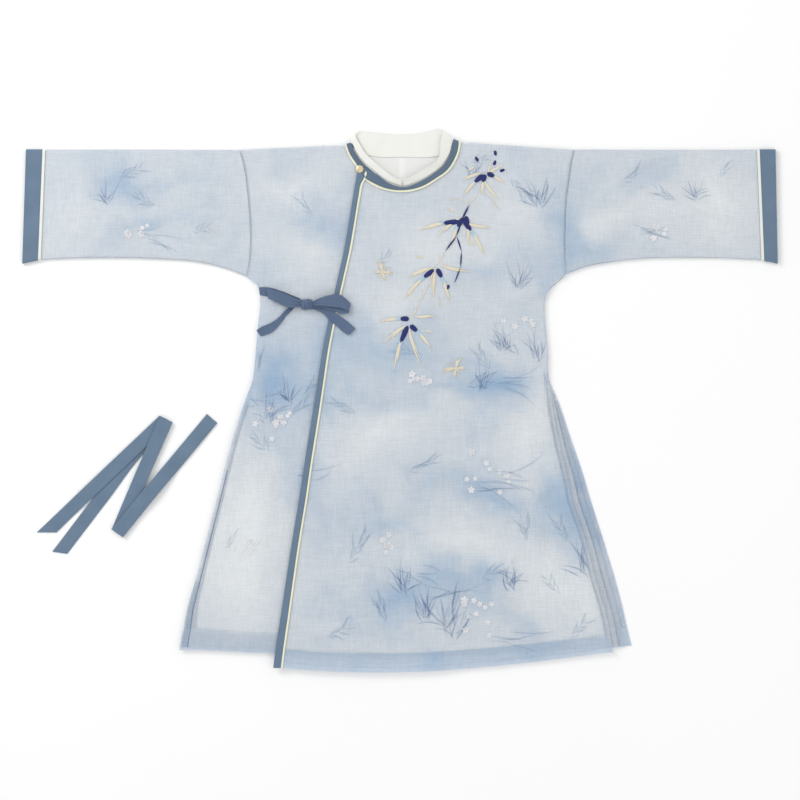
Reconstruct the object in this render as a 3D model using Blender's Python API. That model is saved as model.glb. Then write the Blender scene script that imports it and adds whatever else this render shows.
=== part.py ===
"""A child's round-collared hanfu robe laid out flat, with its folded belt beside it.

Lengths in the tables are millimetres. X runs across the robe, Y up towards the collar and
Z up from the table. Right and left are the wearer's, so the right sleeve lies at -X.
Every panel is a wall of cloth that lies on the one below with a small gap between them.
"""

import math

import bpy
from mathutils import Vector

MM = 0.001
WALL = 1.0
GAP = 0.3
PITCH = WALL + GAP
PIPING = 2.8
CUFF_WALL = 2.0
BELT_WALL = 2.0
STEP_START_X = 38.0
STEP_WIDTH = 55.0
SLIT_TOP_Y = 24.0
OVERLAP_MARGIN = 50.0
SEAM_INSET = 2.0
SLIT_INSET = 7.0
BACK_SLIT_INSET = 11.0
PLEAT_INNER = 4.0
BUTTON_RADIUS = 5.6
BUTTON_HEIGHT = 4.6
LAYERS_BODY = 4

COLOURS = {
    "organza": (0.56, 0.64, 0.74, 1.0),
    "lining": (0.84, 0.85, 0.84, 1.0),
    "slate_cotton": (0.15, 0.22, 0.33, 1.0),
    "cream_satin": (0.78, 0.78, 0.58, 1.0),
    "gold": (0.80, 0.68, 0.42, 1.0),
}
ROUGHNESS = {
    "organza": 0.45, "lining": 0.85, "slate_cotton": 0.8, "cream_satin": 0.4, "gold": 0.35,
}

# Armhole seams from the shoulder down: x, y
RIGHT_SEAM = [
    (-217, 338), (-212, 322), (-208, 300), (-205, 272),
    (-203, 245), (-202, 220), (-203, 195), (-207, 167),
]
LEFT_SEAM = [
    (236, 338), (232, 322), (229, 300), (225, 272),
    (223.5, 245), (223, 220), (223, 195), (224, 170),
]

# Side edges from underarm to hem: x, y
RIGHT_SIDE = [
    (-193, 156), (-189, 135), (-192, 100), (-195, 65), (-199, 28), (-209, 0), (-224, -45),
    (-238, -95), (-251, -145), (-264, -195), (-277, -245), (-288, -283), (-293, -309), (-298, -338),
]
LEFT_SIDE = [
    (209, 160), (201, 148), (196, 135), (195.5, 120), (197, 96), (200, 65), (200, 30), (206, -8),
    (212, -43), (227, -108), (233.5, -140), (245, -172), (255, -205), (262, -235),
    (271, -265), (278, -290), (283.5, -318), (288, -341),
]
LEFT_BACK_SIDE = [
    (201, 148), (196, 135), (197, 100), (200, 65), (202, 28), (214, 0), (229, -45),
    (246, -95), (261, -145), (277, -195), (292, -245), (301, -279), (307, -307), (313, -335),
]

# Over-front edge: neck then placket. edge x, y, outer side of the piping x, y, row sag
OVER_EDGE = [
    (72, 352, 82, 346, 0), (70, 341, 81, 338, 0), (66, 328, 76, 324, 0),
    (57, 315, 67, 310, 0), (42, 303, 50, 297, 0), (24, 293, 29, 285, 4),
    (4, 287, 4, 280, 10), (-14, 292, -20, 283, 20), (-34, 306, -39, 291, 30),
    (-56, 317, -47, 297, 36), (-60, 295, -50, 291, 34), (-63, 277, -53, 276, 30),
    (-69, 240, -59, 240, 22), (-76, 200, -66, 200, 14), (-85, 160, -75, 160, 8),
    (-95, 115, -85, 115, 4), (-104, 70, -94, 70, 0), (-112, 20, -101.5, 20, 0),
    (-120, -30, -109, -30, 0), (-128, -80, -117, -80, 0), (-136.5, -135, -125, -135, 1),
    (-145.5, -190, -134, -190, 3), (-154, -245, -142, -245, 6), (-161.5, -295, -149, -295, 9),
    (-168, -337, -155, -337, 12), (-171, -361.5, -158, -361.5, 13.5),
]
OVER_CORNER = 9
OVER_SHARES = (0.09, 0.19, 0.29, 0.39, 0.49, 0.58, 0.67, 0.76, 0.85, 0.93, 1.0)

# Under-front edge: neck then the hidden straight edge. edge x, y, band side x, y
UNDER_EDGE = [
    (-66, 348, -75, 342), (-62, 337, -70, 331), (-55, 326, -63, 320), (-49, 319, -57, 312),
    (-34, 306, -42, 298), (-14, 292, -20, 283), (-3, 287, -11, 279), (-3, 262, -13, 262),
    (-3, 235, -13, 235), (-3, 200, -13, 200), (-3, 160, -13, 160), (-3, 115, -13, 115),
    (-3, 70, -13, 70), (-3, 20, -13, 20), (-3, -35, -13, -35), (-3, -90, -13, -90),
    (-3, -145, -13, -145), (-3, -200, -13, -200), (-3, -250, -13, -250),
    (-3, -292, -13, -292), (-3, -326, -13, -326), (-3, -349, -13, -349),
]
UNDER_NECK_ROWS = 5
UNDER_SHARES = (0.16, 0.32, 0.48, 0.64, 0.8, 0.92, 1.0)

# Lining inset from the right side, one for each of the side rows
RIGHT_INSETS = (2, 2, 2, 2, 2, 7, 8, 9, 10, 10.5, 11.5, 13.5, 16, 21)

# Soft folds of the top layer: start x, y, end x, y, height, half width
FOLDS = [
    (50, -70, 82, -330, 1.8, 24), (150, -10, 196, -300, 2.0, 24), (-30, -120, -62, -335, 1.5, 24),
    (205, 180, 110, 90, 1.8, 20), (-195, 60, -235, -160, 1.4, 20), (-180, -60, -205, -300, 1.5, 22),
    (-232, 196, -300, 300, 2.0, 20), (-300, 215, -430, 262, 1.6, 20), (-340, 320, -460, 300, 1.3, 20),
    (250, 196, 322, 296, 2.0, 20), (320, 214, 440, 266, 1.6, 20), (350, 318, 462, 304, 1.3, 20),
]

# Sleeve sections from the armhole to the cuff: top x, y, bottom x, y
RIGHT_SLEEVE = [
    (-244, 338, -238, 178), (-280, 338, -275, 186.5), (-330, 338.5, -328, 190.5),
    (-385, 338.5, -385, 192), (-435, 338.5, -437, 191.5), (-478.5, 338.5, -484.5, 189.5),
]
LEFT_SLEEVE = [
    (258, 338.5, 252, 180), (290, 338, 288, 186.5), (330, 338, 330, 191),
    (382, 338, 382, 192), (432, 338, 434, 191.5), (481.5, 338.5, 487.5, 189),
]
RIGHT_CUFF = [(-482.8, 338.8, -489, 188.4), (-493, 338.8, -499, 186.6), (-505, 338.8, -510, 184)]
LEFT_CUFF = [(485.8, 338.8, 492, 187.6), (496, 338.8, 502, 186), (507, 338.8, 510, 184)]

# Stand collar from the front centre round the back: seam x, y, z, top edge x, y, z
COLLAR = [
    (2.0, 289.4, 6.9, 1.4, 296, 10.2), (-13, 294.6, 6.9, -7, 299.5, 10.6),
    (-32.6, 308.2, 6.6, -23, 311.5, 10.4), (-47.2, 321, 5.6, -36, 322.5, 9.6),
    (-57, 332.6, 4.8, -46, 332, 8.6), (-64, 346, 4.3, -54, 344.5, 7.4),
    (-66.6, 350.5, 3.6, -60.2, 358.5, 4.6), (-62, 348.2, 1.9, -55, 362.6, 2.2),
    (-48, 339.5, 1.8, -40, 361.5, 1.8), (-36, 331.4, 1.8, -25, 360, 1.8),
    (6, 330.6, 1.8, 2, 358.2, 1.8), (49, 331.4, 1.8, 31, 361, 1.8),
    (58, 339.5, 1.8, 44, 364, 1.8), (67, 348.6, 1.9, 51, 366.2, 2.2),
    (72, 354.0, 3.6, 57, 364.6, 4.6), (70.0, 345.4, 4.8, 54.5, 346, 7.4),
    (66.4, 333, 5.4, 54, 333, 8.4), (57.4, 318.8, 6.0, 49, 321.6, 9.2),
    (42.0, 305.8, 6.5, 32, 311.4, 9.8), (23.4, 295.4, 6.8, 14, 300, 10.2),
    (5.0, 289.4, 6.9, 4.6, 297, 10.4),
]

# Back neck edge of the outer cloth and the band above it: x, y of the edge
BACK_NECK = [(-75, 341.5), (-52, 337.5), (-25, 335), (3, 334), (31, 335), (58, 338), (82, 343)]
BACK_BAND_DEPTH = 8.0
LINING_NECK = [(-68, 345), (-50, 337.5), (-36, 329.4), (6, 328.6), (49, 329.4), (60, 337.5), (74, 347)]

# Folded left side pleat: y, front edge x, outermost x
LEFT_PLEAT = [
    (-12, 207, 217.5), (-43, 212, 228.5), (-75, 218.5, 239), (-108, 227, 250),
    (-140, 233.5, 259.5), (-172, 245, 270), (-205, 255, 280), (-235, 262, 289), (-265, 271, 297),
    (-290, 278, 303.5), (-334, 286.5, 312.4),
]
# Folded right side pleat: y, outermost x, depth of the pleat
RIGHT_PLEAT = [
    (-6, -210.5, 5), (-45, -223.5, 5.5), (-95, -237.5, 6.5), (-145, -250.5, 7.5), (-195, -263.5, 8),
    (-245, -276.5, 9), (-283, -287.5, 11), (-309, -292.5, 13), (-334, -297, 13.5),
]

# Tie ribbons, cross rows along each: upper edge x, y, lower edge x, y, z of the underside
TIE_ROOT = [
    (-190.5, 152, -189, 141.5, 5.2), (-178, 152, -178.5, 140, 5.2), (-160, 147, -162, 136.5, 5.2),
    (-145, 141, -147, 130.5, 5.2), (-135, 137, -135, 129, 5.2),
]
TIE_LOOP_RIGHT = [
    (-135, 135.2, -135, 126, 6.6), (-152, 141.6, -151, 125, 6.5), (-165, 146.6, -163, 130, 6.5),
    (-176, 149.6, -174.6, 135.6, 6.7), (-179, 151.4, -177.4, 136.6, 8.4),
    (-176, 150.4, -174.6, 135.6, 10.0), (-165, 147, -163, 130.4, 10.8),
    (-152, 142, -151, 125.2, 11.0), (-135, 135.4, -135, 125.6, 10.4),
]
TIE_LOOP_LEFT = [
    (-117, 131, -117, 125.2, 10.5), (-103, 138.4, -103, 123.4, 10.6), (-90, 141.4, -88, 119, 10.6),
    (-79, 141, -78, 116, 10.8), (-67, 130, -69, 118.4, 12.6), (-72, 134.6, -74, 122, 14.4),
    (-80, 141.4, -84, 124.8, 15.0), (-90, 142, -96, 126, 15.2), (-104, 138.6, -106, 127, 15.0),
    (-117, 133.4, -117, 128, 12.6),
]
TIE_TAIL_RIGHT = [
    (-148, 123.4, -148.4, 119.6, 5.2), (-156, 121, -153, 115.4, 5.2), (-162, 113, -158.6, 106.8, 5.2),
    (-173, 104.6, -166.4, 97, 5.2), (-186, 99, -175.4, 90, 5.2), (-194, 94, -188, 86, 5.2),
]
TIE_TAIL_LEFT = [
    (-117, 128.4, -117, 121.8, 8.4), (-103, 124.4, -103.6, 117, 9.1), (-90, 119, -96, 108.4, 9.1),
    (-80, 112.6, -84, 98.4, 9.1), (-68, 103.6, -73, 89.4, 9.1), (-60, 96, -68, 88, 9.1),
]
TIE_KNOT_CENTRE = (-126, 129.0)
TIE_KNOT_HALF = (8.2, 7.6)
TIE_KNOT_LOW = 5.2
TIE_KNOT_HIGH = 14.2

# Belt stretches, cross rows along each: left edge x, y, right edge x, y, z of the underside
BELT_1 = [
    (-491, -179, -464.5, -179, 0), (-455, -144.8, -442.6, -157.8, 0),
    (-433, -123.8, -420.6, -136.8, 1.3), (-380, -73.4, -367.6, -86.4, 1.3),
    (-327.5, -23.5, -315, -36.5, 1.3),
]
BELT_2 = [
    (-470, -205, -450, -208, 0), (-411, -127, -396.6, -138, 0), (-363.4, -64.2, -349, -75, 0),
    (-332, -23, -317.6, -34, 0),
]
BELT_3 = [
    (-324, -21.4, -307, -30, 2.6), (-336, -49.2, -318.8, -57, 2.6), (-353.6, -90, -336.6, -97.6, 2.6),
    (-370, -128, -353, -135.4, 0), (-389, -173, -373, -181, 0),
]
BELT_4 = [
    (-390, -174.6, -374, -185.4, 2.3), (-366, -145.4, -351.6, -157.4, 2.3),
    (-340.6, -114.6, -326.4, -126.6, 4.0), (-313, -81.4, -298.8, -93.6, 0), (-261, -19, -247, -31, 0),
]


def clear_scene():
    """Remove whatever the startup file holds."""
    for thing in list(bpy.context.scene.objects):
        bpy.data.objects.remove(thing, do_unlink=True)


def cloth_material(name):
    """One plain Principled material for each kind of cloth or metal."""
    material = bpy.data.materials.get(name)
    if material is None:
        material = bpy.data.materials.new(name)
        material.use_nodes = True
        shader = material.node_tree.nodes["Principled BSDF"]
        shader.inputs["Base Color"].default_value = COLOURS[name]
        shader.inputs["Roughness"].default_value = ROUGHNESS[name]
        shader.inputs["Metallic"].default_value = 0.8 if name == "gold" else 0.0
        material.diffuse_color = COLOURS[name]
    return material


def add_object(name, points, faces, material, root):
    """Make one named mesh object from points in millimetres."""
    mesh = bpy.data.meshes.new(name)
    mesh.from_pydata([Vector(point) * MM for point in points], [], faces)
    mesh.shade_smooth()
    mesh.set_sharp_from_angle(angle=math.radians(35))
    mesh.materials.append(cloth_material(material))
    thing = bpy.data.objects.new(name, mesh)
    bpy.context.scene.collection.objects.link(thing)
    thing.parent = root
    return thing


def wall_faces(rows, columns, closed_columns=False):
    """Faces of a wall whose upper grid comes first and whose lower grid follows it.

    Both sides split their quads along the same diagonal, so that layers made from the same
    points stay clear of each other.
    """
    faces = []
    count = rows * columns
    last = columns if closed_columns else columns - 1
    for row in range(rows - 1):
        for column in range(last):
            after = (column + 1) % columns
            corners = [
                row * columns + column, (row + 1) * columns + column,
                (row + 1) * columns + after, row * columns + after,
            ]
            for first, second in ((1, 2), (2, 3)):
                triangle = [corners[0], corners[first], corners[second]]
                faces.append(triangle)
                faces.append([corner + count for corner in reversed(triangle)])
    for column in range(last):
        after = (column + 1) % columns
        faces.append([column, after, after + count, column + count])
        end = (rows - 1) * columns
        faces.append([end + after, end + column, end + column + count, end + after + count])
    if not closed_columns:
        for row in range(rows - 1):
            start = row * columns
            below = (row + 1) * columns
            faces.append([below, start, start + count, below + count])
            faces.append([start + last, below + last, below + last + count, start + last + count])
    return faces


def outward(points, faces):
    """Turn the faces round when the solid they make is inside out."""
    volume = 0.0
    for face in faces:
        first = Vector(points[face[0]])
        for index in range(1, len(face) - 1):
            volume += first.dot(Vector(points[face[index]]).cross(Vector(points[face[index + 1]])))
    return faces if volume > 0 else [list(reversed(face)) for face in faces]


def add_wall(name, upper, lower, material, root, closed_columns=False):
    """Close two matching grids of points into one wall."""
    points = [point for row in upper for point in row] + [point for row in lower for point in row]
    faces = wall_faces(len(upper), len(upper[0]), closed_columns)
    return add_object(name, points, outward(points, faces), material, root)


def add_sheet(name, grid, material, root, wall=WALL):
    """A wall that stands on the given underside points."""
    upper = [[(x, y, z + wall) for x, y, z in row] for row in grid]
    return add_wall(name, upper, grid, material, root)


def add_ribbon(name, grid, material, root, wall=WALL):
    """A wall of even thickness about a middle surface that may turn over."""
    upper, lower = [], []
    rows, columns = len(grid), len(grid[0])
    for r in range(rows):
        top_row, low_row = [], []
        for c in range(columns):
            here = Vector(grid[r][c])
            along = Vector(grid[min(r + 1, rows - 1)][c]) - Vector(grid[max(r - 1, 0)][c])
            across = Vector(grid[r][min(c + 1, columns - 1)]) - Vector(grid[r][max(c - 1, 0)])
            normal = along.cross(across).normalized() * (wall / 2)
            top_row.append(tuple(here + normal))
            low_row.append(tuple(here - normal))
        upper.append(top_row)
        lower.append(low_row)
    return add_wall(name, upper, lower, material, root)


def level(number):
    """Underside height of the numbered layer of cloth."""
    return number * PITCH


def smooth_step(value):
    """Ease from 0 to 1."""
    value = min(max(value, 0.0), 1.0)
    return value * value * (3 - 2 * value)


def mix(start, end, share):
    """Point part of the way from start to end."""
    return tuple(a + (b - a) * share for a, b in zip(start, end))


def fold_height(x, y):
    """Height of the soft folds at a point of the top layer."""
    height = 0.0
    for x0, y0, x1, y1, rise, half_width in FOLDS:
        span = Vector((x1 - x0, y1 - y0))
        offset = Vector((x - x0, y - y0))
        along = offset.dot(span) / span.length_squared
        if 0 < along < 1:
            across = (offset - span * along).length / half_width
            height += rise * math.sin(math.pi * along) * math.exp(-across * across)
    return height


def over_lift(x):
    """The over-front lies two layers higher where the under-front is beneath it."""
    return 2 * PITCH * (1 - smooth_step((x - STEP_START_X) / STEP_WIDTH))


def placket_x(y):
    """Left edge of the over-front at a height down the robe."""
    rows = OVER_EDGE[OVER_CORNER:]
    for first, second in zip(rows, rows[1:]):
        if first[1] >= y >= second[1]:
            share = (first[1] - y) / (first[1] - second[1])
            return first[0] + (second[0] - first[0]) * share
    return rows[0][0] if y > rows[0][1] else rows[-1][0]


def row_sag(share, sag):
    """Drop of a row of the over-front below its straight line."""
    return sag * math.sin(math.pi * share ** 0.85)


def over_front_rows():
    """Plan points of the over-front: band, piping, body and side columns of each row."""
    rows = []
    for (edge_x, edge_y, band_x, band_y, sag), side in zip(OVER_EDGE, LEFT_SEAM + LEFT_SIDE):
        edge, band = Vector((edge_x, edge_y)), Vector((band_x, band_y))
        split = band - (band - edge).normalized() * PIPING
        inset = SLIT_INSET if side[1] < SLIT_TOP_Y else SEAM_INSET
        inner = (side[0] - inset, side[1])
        row = [tuple(edge), tuple(split), tuple(band)]
        for share in OVER_SHARES:
            x, y = mix(band, inner, share)
            row.append((x, y - row_sag(share, sag)))
        row.append(side)
        rows.append(row)
    return rows


def over_outer_height(x, y, at_side):
    """Underside of the over-front's outer cloth."""
    lift = PITCH if at_side and y < SLIT_TOP_Y else 0.0
    near_band = smooth_step((x - placket_x(y) - 15) / 30)
    if y > 255:
        near_band = 0.0
    return level(3) + over_lift(x) + lift + fold_height(x, y) * near_band


def over_outer_grid():
    """Underside points of the over-front's outer cloth."""
    grid = []
    for row in over_front_rows():
        last = len(row) - 2
        grid.append([(x, y, over_outer_height(x, y, c >= last)) for c, (x, y) in enumerate(row)])
    return grid


def build_over_front(root):
    """Outer cloth, lining, neck and placket bands and their piping."""
    grid = over_outer_grid()
    add_sheet("front_over", grid, "organza", root)
    lining = [[(x, y, level(2) + over_lift(x)) for x, y, _ in row[1:-1]] for row in grid[:-1]]
    add_sheet("front_over_lining", lining, "lining", root)
    raised = [[(x, y, z + PITCH) for x, y, z in row] for row in grid]
    neck = [list(row) for row in raised[:OVER_CORNER + 1]]
    neck[-1] = [mix(a, b, 0.03) for a, b in zip(raised[OVER_CORNER], raised[OVER_CORNER - 1])]
    placket = raised[OVER_CORNER:]
    for name, rows in (("neck", neck), ("placket", placket)):
        band = [[row[0], mix(row[0], row[1], 0.5), shortened(row[0], row[1])] for row in rows]
        add_sheet(f"{name}_band_over", band, "slate_cotton", root)
        add_sheet(f"{name}_piping_over", [[row[1], row[2]] for row in rows], "cream_satin", root)


def shortened(start, end):
    """The end point drawn back from its neighbour by one seam gap."""
    span = Vector(end) - Vector(start)
    return tuple(Vector(start) + span * (1 - GAP / span.length))


def under_front_rows():
    """Plan points of the under-front from its neck edge out to the side."""
    sides = RIGHT_SEAM + RIGHT_SIDE
    rows = []
    for index, ((edge_x, edge_y, band_x, band_y), side) in enumerate(zip(UNDER_EDGE, sides)):
        edge, band = Vector((edge_x, edge_y)), Vector((band_x, band_y))
        split = band - (band - edge).normalized() * PIPING
        below = index - len(RIGHT_SEAM)
        inset = RIGHT_INSETS[below] if below >= 0 else SEAM_INSET
        inner = (side[0] + inset, side[1])
        row = [tuple(edge), tuple(split), tuple(band)]
        row.extend(mix(band, inner, share) for share in UNDER_SHARES)
        row.append(side)
        rows.append(row)
    return rows


def build_under_front(root):
    """Outer cloth, lining and the part of the neck band that lies on it."""
    rows = under_front_rows()

    def height(x, y):
        shown = smooth_step((placket_x(y) - OVERLAP_MARGIN - x) / 30)
        return level(3) + fold_height(x, y) * shown

    outer = [[(x, y, height(x, y)) for x, y in row] for row in rows]
    add_sheet("front_under", outer, "organza", root)
    lining = [[(x, y, level(2)) for x, y in row[:-1]] for row in rows[:-1]]
    add_sheet("front_under_lining", lining, "lining", root)
    band, piping = [], []
    for row in rows[:UNDER_NECK_ROWS]:
        points = [(x, y, level(4)) for x, y in row[:3]]
        band.append([points[0], mix(points[0], points[1], 0.5), shortened(points[0], points[1])])
        piping.append(points[1:])
    piping.pop()
    add_sheet("neck_band_under", band, "slate_cotton", root)
    add_sheet("neck_piping_under", piping, "cream_satin", root)


def neck_dip(x, edge):
    """Height of a neck edge given as x, y points, or None beside it."""
    for (x0, y0), (x1, y1) in zip(edge, edge[1:]):
        if x0 <= x <= x1:
            return y0 + (y1 - y0) * (x - x0) / (x1 - x0)
    return None


def left_front_x(y, default):
    """Side edge of the over-front at a height down the robe."""
    for (x0, y0), (x1, y1) in zip(LEFT_SIDE, LEFT_SIDE[1:]):
        if y0 >= y >= y1:
            return x0 + (x1 - x0) * (y0 - y) / (y0 - y1)
    return default


def back_grid(neck, insets, z, hem_rise):
    """Plan of a back panel: shoulder row with its neck edge, then rows down to the hem."""
    right = RIGHT_SEAM + RIGHT_SIDE
    left = LEFT_SEAM + LEFT_BACK_SIDE
    grid = []
    neck_x = [x for x, _ in neck]
    for index, (start, end) in enumerate(zip(right, left)):
        below = index - len(RIGHT_SEAM)
        x0, x1 = start[0], end[0]
        if insets:
            x0 += RIGHT_INSETS[below] if below >= 0 else SEAM_INSET
            x1 = left_front_x(end[1], end[0])
            x1 -= BACK_SLIT_INSET if end[1] < SLIT_TOP_Y + 10 else SEAM_INSET
        sides = [x0 + (neck_x[0] - x0) * share for share in (0, 0.33, 0.66)]
        sides_after = [neck_x[-1] + (x1 - neck_x[-1]) * share for share in (0.34, 0.67, 1)]
        row = []
        for x in sides + neck_x + sides_after:
            share = (x - x0) / (x1 - x0)
            y = start[1] + (end[1] - start[1]) * share
            drop = 14 * max(below, 0) / len(RIGHT_SIDE) * math.sin(math.pi * share)
            if index < 2:
                dip = neck_dip(x, neck)
                y = y if dip is None else dip - index * 14
            row.append((x, y - drop, z))
        grid.append(row)
    grid[-1] = [(x, y + hem_rise, z) for x, y, z in grid[-1]]
    return grid


def build_back(root):
    """Outer back, its lining and the band round the back of the neck."""
    add_sheet("back_outer", back_grid(BACK_NECK, False, level(0), 3), "organza", root)
    add_sheet("back_lining", back_grid(LINING_NECK, True, level(1), 24), "lining", root)
    band = [
        [(x, y + GAP, level(0)) for x, y in BACK_NECK],
        [(x * 0.95, y + BACK_BAND_DEPTH, level(0)) for x, y in BACK_NECK],
    ]
    add_sheet("neck_band_back", band, "slate_cotton", root)


def flat_ring(top, bottom, columns, low, high, wall):
    """Outer and inner loops of one section of a tube pressed flat between two heights."""
    loops = []
    for inset in (0.0, wall):
        radius = (high - low) / 2 - inset
        middle = (low + high) / 2
        start = Vector(mix(top, bottom, 0.0))
        span = Vector(bottom) - start
        reach = span.normalized() * (inset + radius)
        loop = []
        for share in columns:
            point = start + reach + (span - 2 * reach) * share
            loop.append([point.x, point.y, middle + radius])
        for angle in (60, 0, -60):
            edge = Vector(bottom) - reach + span.normalized() * radius * math.cos(math.radians(angle))
            loop.append([edge.x, edge.y, middle + radius * math.sin(math.radians(angle))])
        for share in reversed(columns):
            point = start + reach + (span - 2 * reach) * share
            loop.append([point.x, point.y, middle - radius])
        for angle in (-60, 0, 60):
            edge = start + reach - span.normalized() * radius * math.cos(math.radians(angle))
            loop.append([edge.x, edge.y, middle + radius * math.sin(math.radians(angle))])
        loops.append(loop)
    return loops


def bulge_of(seam, share):
    """How far a seam stands from the straight line between its ends."""
    (x0, y0), (x1, y1) = seam[0], seam[-1]
    y = y0 + (y1 - y0) * share
    for (xa, ya), (xb, yb) in zip(seam, seam[1:]):
        if ya >= y >= yb:
            on_seam = xa + (xb - xa) * (ya - y) / (ya - yb)
            return on_seam - (x0 + (x1 - x0) * share)
    return 0.0


def tube_rings(sections, seam, columns, low, high, wall, folded):
    """Rings of a sleeve; the first few lean with the armhole seam."""
    top_y, low_y = seam[0][1], seam[-1][1]
    rings = []
    fade = (1.0, 0.55, 0.25, 0.08)
    for index, (x0, y0, x1, y1) in enumerate(sections):
        ring = flat_ring((x0, y0), (x1, y1), columns, low, high, wall)
        lean = fade[index] if index < len(fade) else 0.0
        for loop in ring:
            for point in loop:
                share = (top_y - point[1]) / (top_y - low_y)
                point[0] += bulge_of(seam, min(max(share, 0.0), 1.0)) * lean
                if folded and point[2] > (low + high) / 2:
                    point[2] += fold_height(point[0], point[1])
        rings.append(ring)
    return rings


def add_tube(name, rings, material, root):
    """Close the outer and inner loops of the rings into one open-ended tube."""
    upper = [[tuple(point) for point in ring[0]] for ring in rings]
    lower = [[tuple(point) for point in ring[1]] for ring in rings]
    return add_wall(name, upper, lower, material, root, closed_columns=True)


def build_sleeve(side, seam, sections, cuff, root):
    """Sleeve, its lining, the cuff and the piping between them."""
    away = -1 if side == "right" else 1
    shares = [(seam[0][1] - y) / (seam[0][1] - seam[-1][1]) for _, y in seam]
    shoulder, underarm = seam[0], seam[-1]
    first = (shoulder[0] + away * GAP, shoulder[1], underarm[0] + away * GAP, underarm[1])
    high = level(LAYERS_BODY) - GAP
    sleeve = [first] + sections
    rings = tube_rings(sleeve, seam, shares, level(0), high, WALL, True)
    add_tube(f"sleeve_{side}", rings, "organza", root)
    inner = [(x0, y0 - PITCH, x1, y1 + PITCH) for x0, y0, x1, y1 in sleeve]
    rings = tube_rings(inner, seam, shares, level(1), high - PITCH, WALL, False)
    add_tube(f"sleeve_lining_{side}", rings, "lining", root)
    rings = [flat_ring(row[:2], row[2:], shares, level(0), high, CUFF_WALL) for row in cuff]
    add_tube(f"cuff_{side}", rings, "slate_cotton", root)
    end, start = sections[-1], cuff[0]
    piping = [
        (end[0] + away * GAP, end[1], end[2] + away * GAP, end[3]),
        (start[0] - away * GAP, start[1], start[2] - away * GAP, start[3]),
    ]
    rings = [flat_ring(row[:2], row[2:], shares, level(0), high, WALL) for row in piping]
    add_tube(f"cuff_piping_{side}", rings, "cream_satin", root)


def build_collar(root):
    """White stand collar: one strip from front centre round the back to front centre."""
    grid = []
    for bx, by, bz, tx, ty, tz in COLLAR:
        start, end = (bx, by, bz), (tx, ty, tz)
        grid.append([mix(start, end, share) for share in (0, 0.5, 1)])
    add_ribbon("collar", grid, "lining", root)


def turn(x, z, direction, steps=4):
    """Middle points of a fold that turns upwards through half a circle."""
    points = []
    for step in range(steps + 1):
        angle = -math.pi / 2 + math.pi * step / steps
        points.append((x + direction * math.cos(angle) * PITCH / 2, z + math.sin(angle) * PITCH / 2))
    return points


def build_left_pleat(root):
    """Three layers of folded side cloth that stand out past the left front edge."""
    grid = []
    middles = [level(1) + WALL / 2, level(2) + WALL / 2, level(3) + WALL / 2]
    for y, front_x, outer_x in LEFT_PLEAT:
        step = (outer_x - front_x) / 3
        inner_x = front_x - PLEAT_INNER + PITCH
        line = [(front_x + 2 * step, middles[0])]
        line += turn(inner_x, (middles[0] + middles[1]) / 2, -1)
        line += turn(front_x + step - PITCH / 2, (middles[1] + middles[2]) / 2, 1)
        line.append((inner_x - PITCH / 2, middles[2]))
        grid.append([(x, y, z) for x, z in line])
    add_section_wall("side_pleat_left", grid, root)


def build_right_pleat(root):
    """Two layers of side cloth folded in beneath the right front edge."""
    grid = []
    low, high = level(1) + WALL / 2, level(2) + WALL / 2
    for y, outer_x, depth in RIGHT_PLEAT:
        line = [(outer_x + 0.8, low)]
        line += turn(outer_x + depth - PITCH, (low + high) / 2, 1)
        line.append((outer_x + 0.8, high))
        grid.append([(x, y, z) for x, z in line])
    add_section_wall("side_pleat_right", grid, root)


def add_section_wall(name, grid, root):
    """A wall whose thickness is laid out square to each section's own line."""
    upper, lower = [], []
    for row in grid:
        top_row, low_row = [], []
        for index, (x, y, z) in enumerate(row):
            before, after = row[max(index - 1, 0)], row[min(index + 1, len(row) - 1)]
            run = Vector((after[0] - before[0], after[2] - before[2])).normalized() * (WALL / 2)
            top_row.append((x - run.y, y, z + run.x))
            low_row.append((x + run.y, y, z - run.x))
        upper.append(top_row)
        lower.append(low_row)
    add_wall(name, upper, lower, "organza", root)


def cross_rows(table, columns=3):
    """Grid of underside points from rows of two edge points and a height."""
    grid = []
    for x0, y0, x1, y1, z in table:
        shares = [column / (columns - 1) for column in range(columns)]
        grid.append([mix((x0, y0, z), (x1, y1, z), share) for share in shares])
    return grid


def raised_rows(table):
    """Grid of middle points for ribbons that turn over."""
    return [[(x, y, z + WALL / 2) for x, y, z in row] for row in cross_rows(table)]


def build_tie(root):
    """The knotted ribbons that close the robe at its right side."""
    add_sheet("tie_root", cross_rows(TIE_ROOT), "slate_cotton", root)
    add_ribbon("tie_loop_right", raised_rows(TIE_LOOP_RIGHT), "slate_cotton", root)
    add_ribbon("tie_loop_left", raised_rows(TIE_LOOP_LEFT), "slate_cotton", root)
    add_sheet("tie_tail_right", cross_rows(TIE_TAIL_RIGHT), "slate_cotton", root)
    add_sheet("tie_tail_left", cross_rows(TIE_TAIL_LEFT), "slate_cotton", root)
    low, high = TIE_KNOT_LOW, TIE_KNOT_HIGH
    add_dome("tie_knot", TIE_KNOT_CENTRE, TIE_KNOT_HALF, low, high, 16, "slate_cotton", root)


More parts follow.
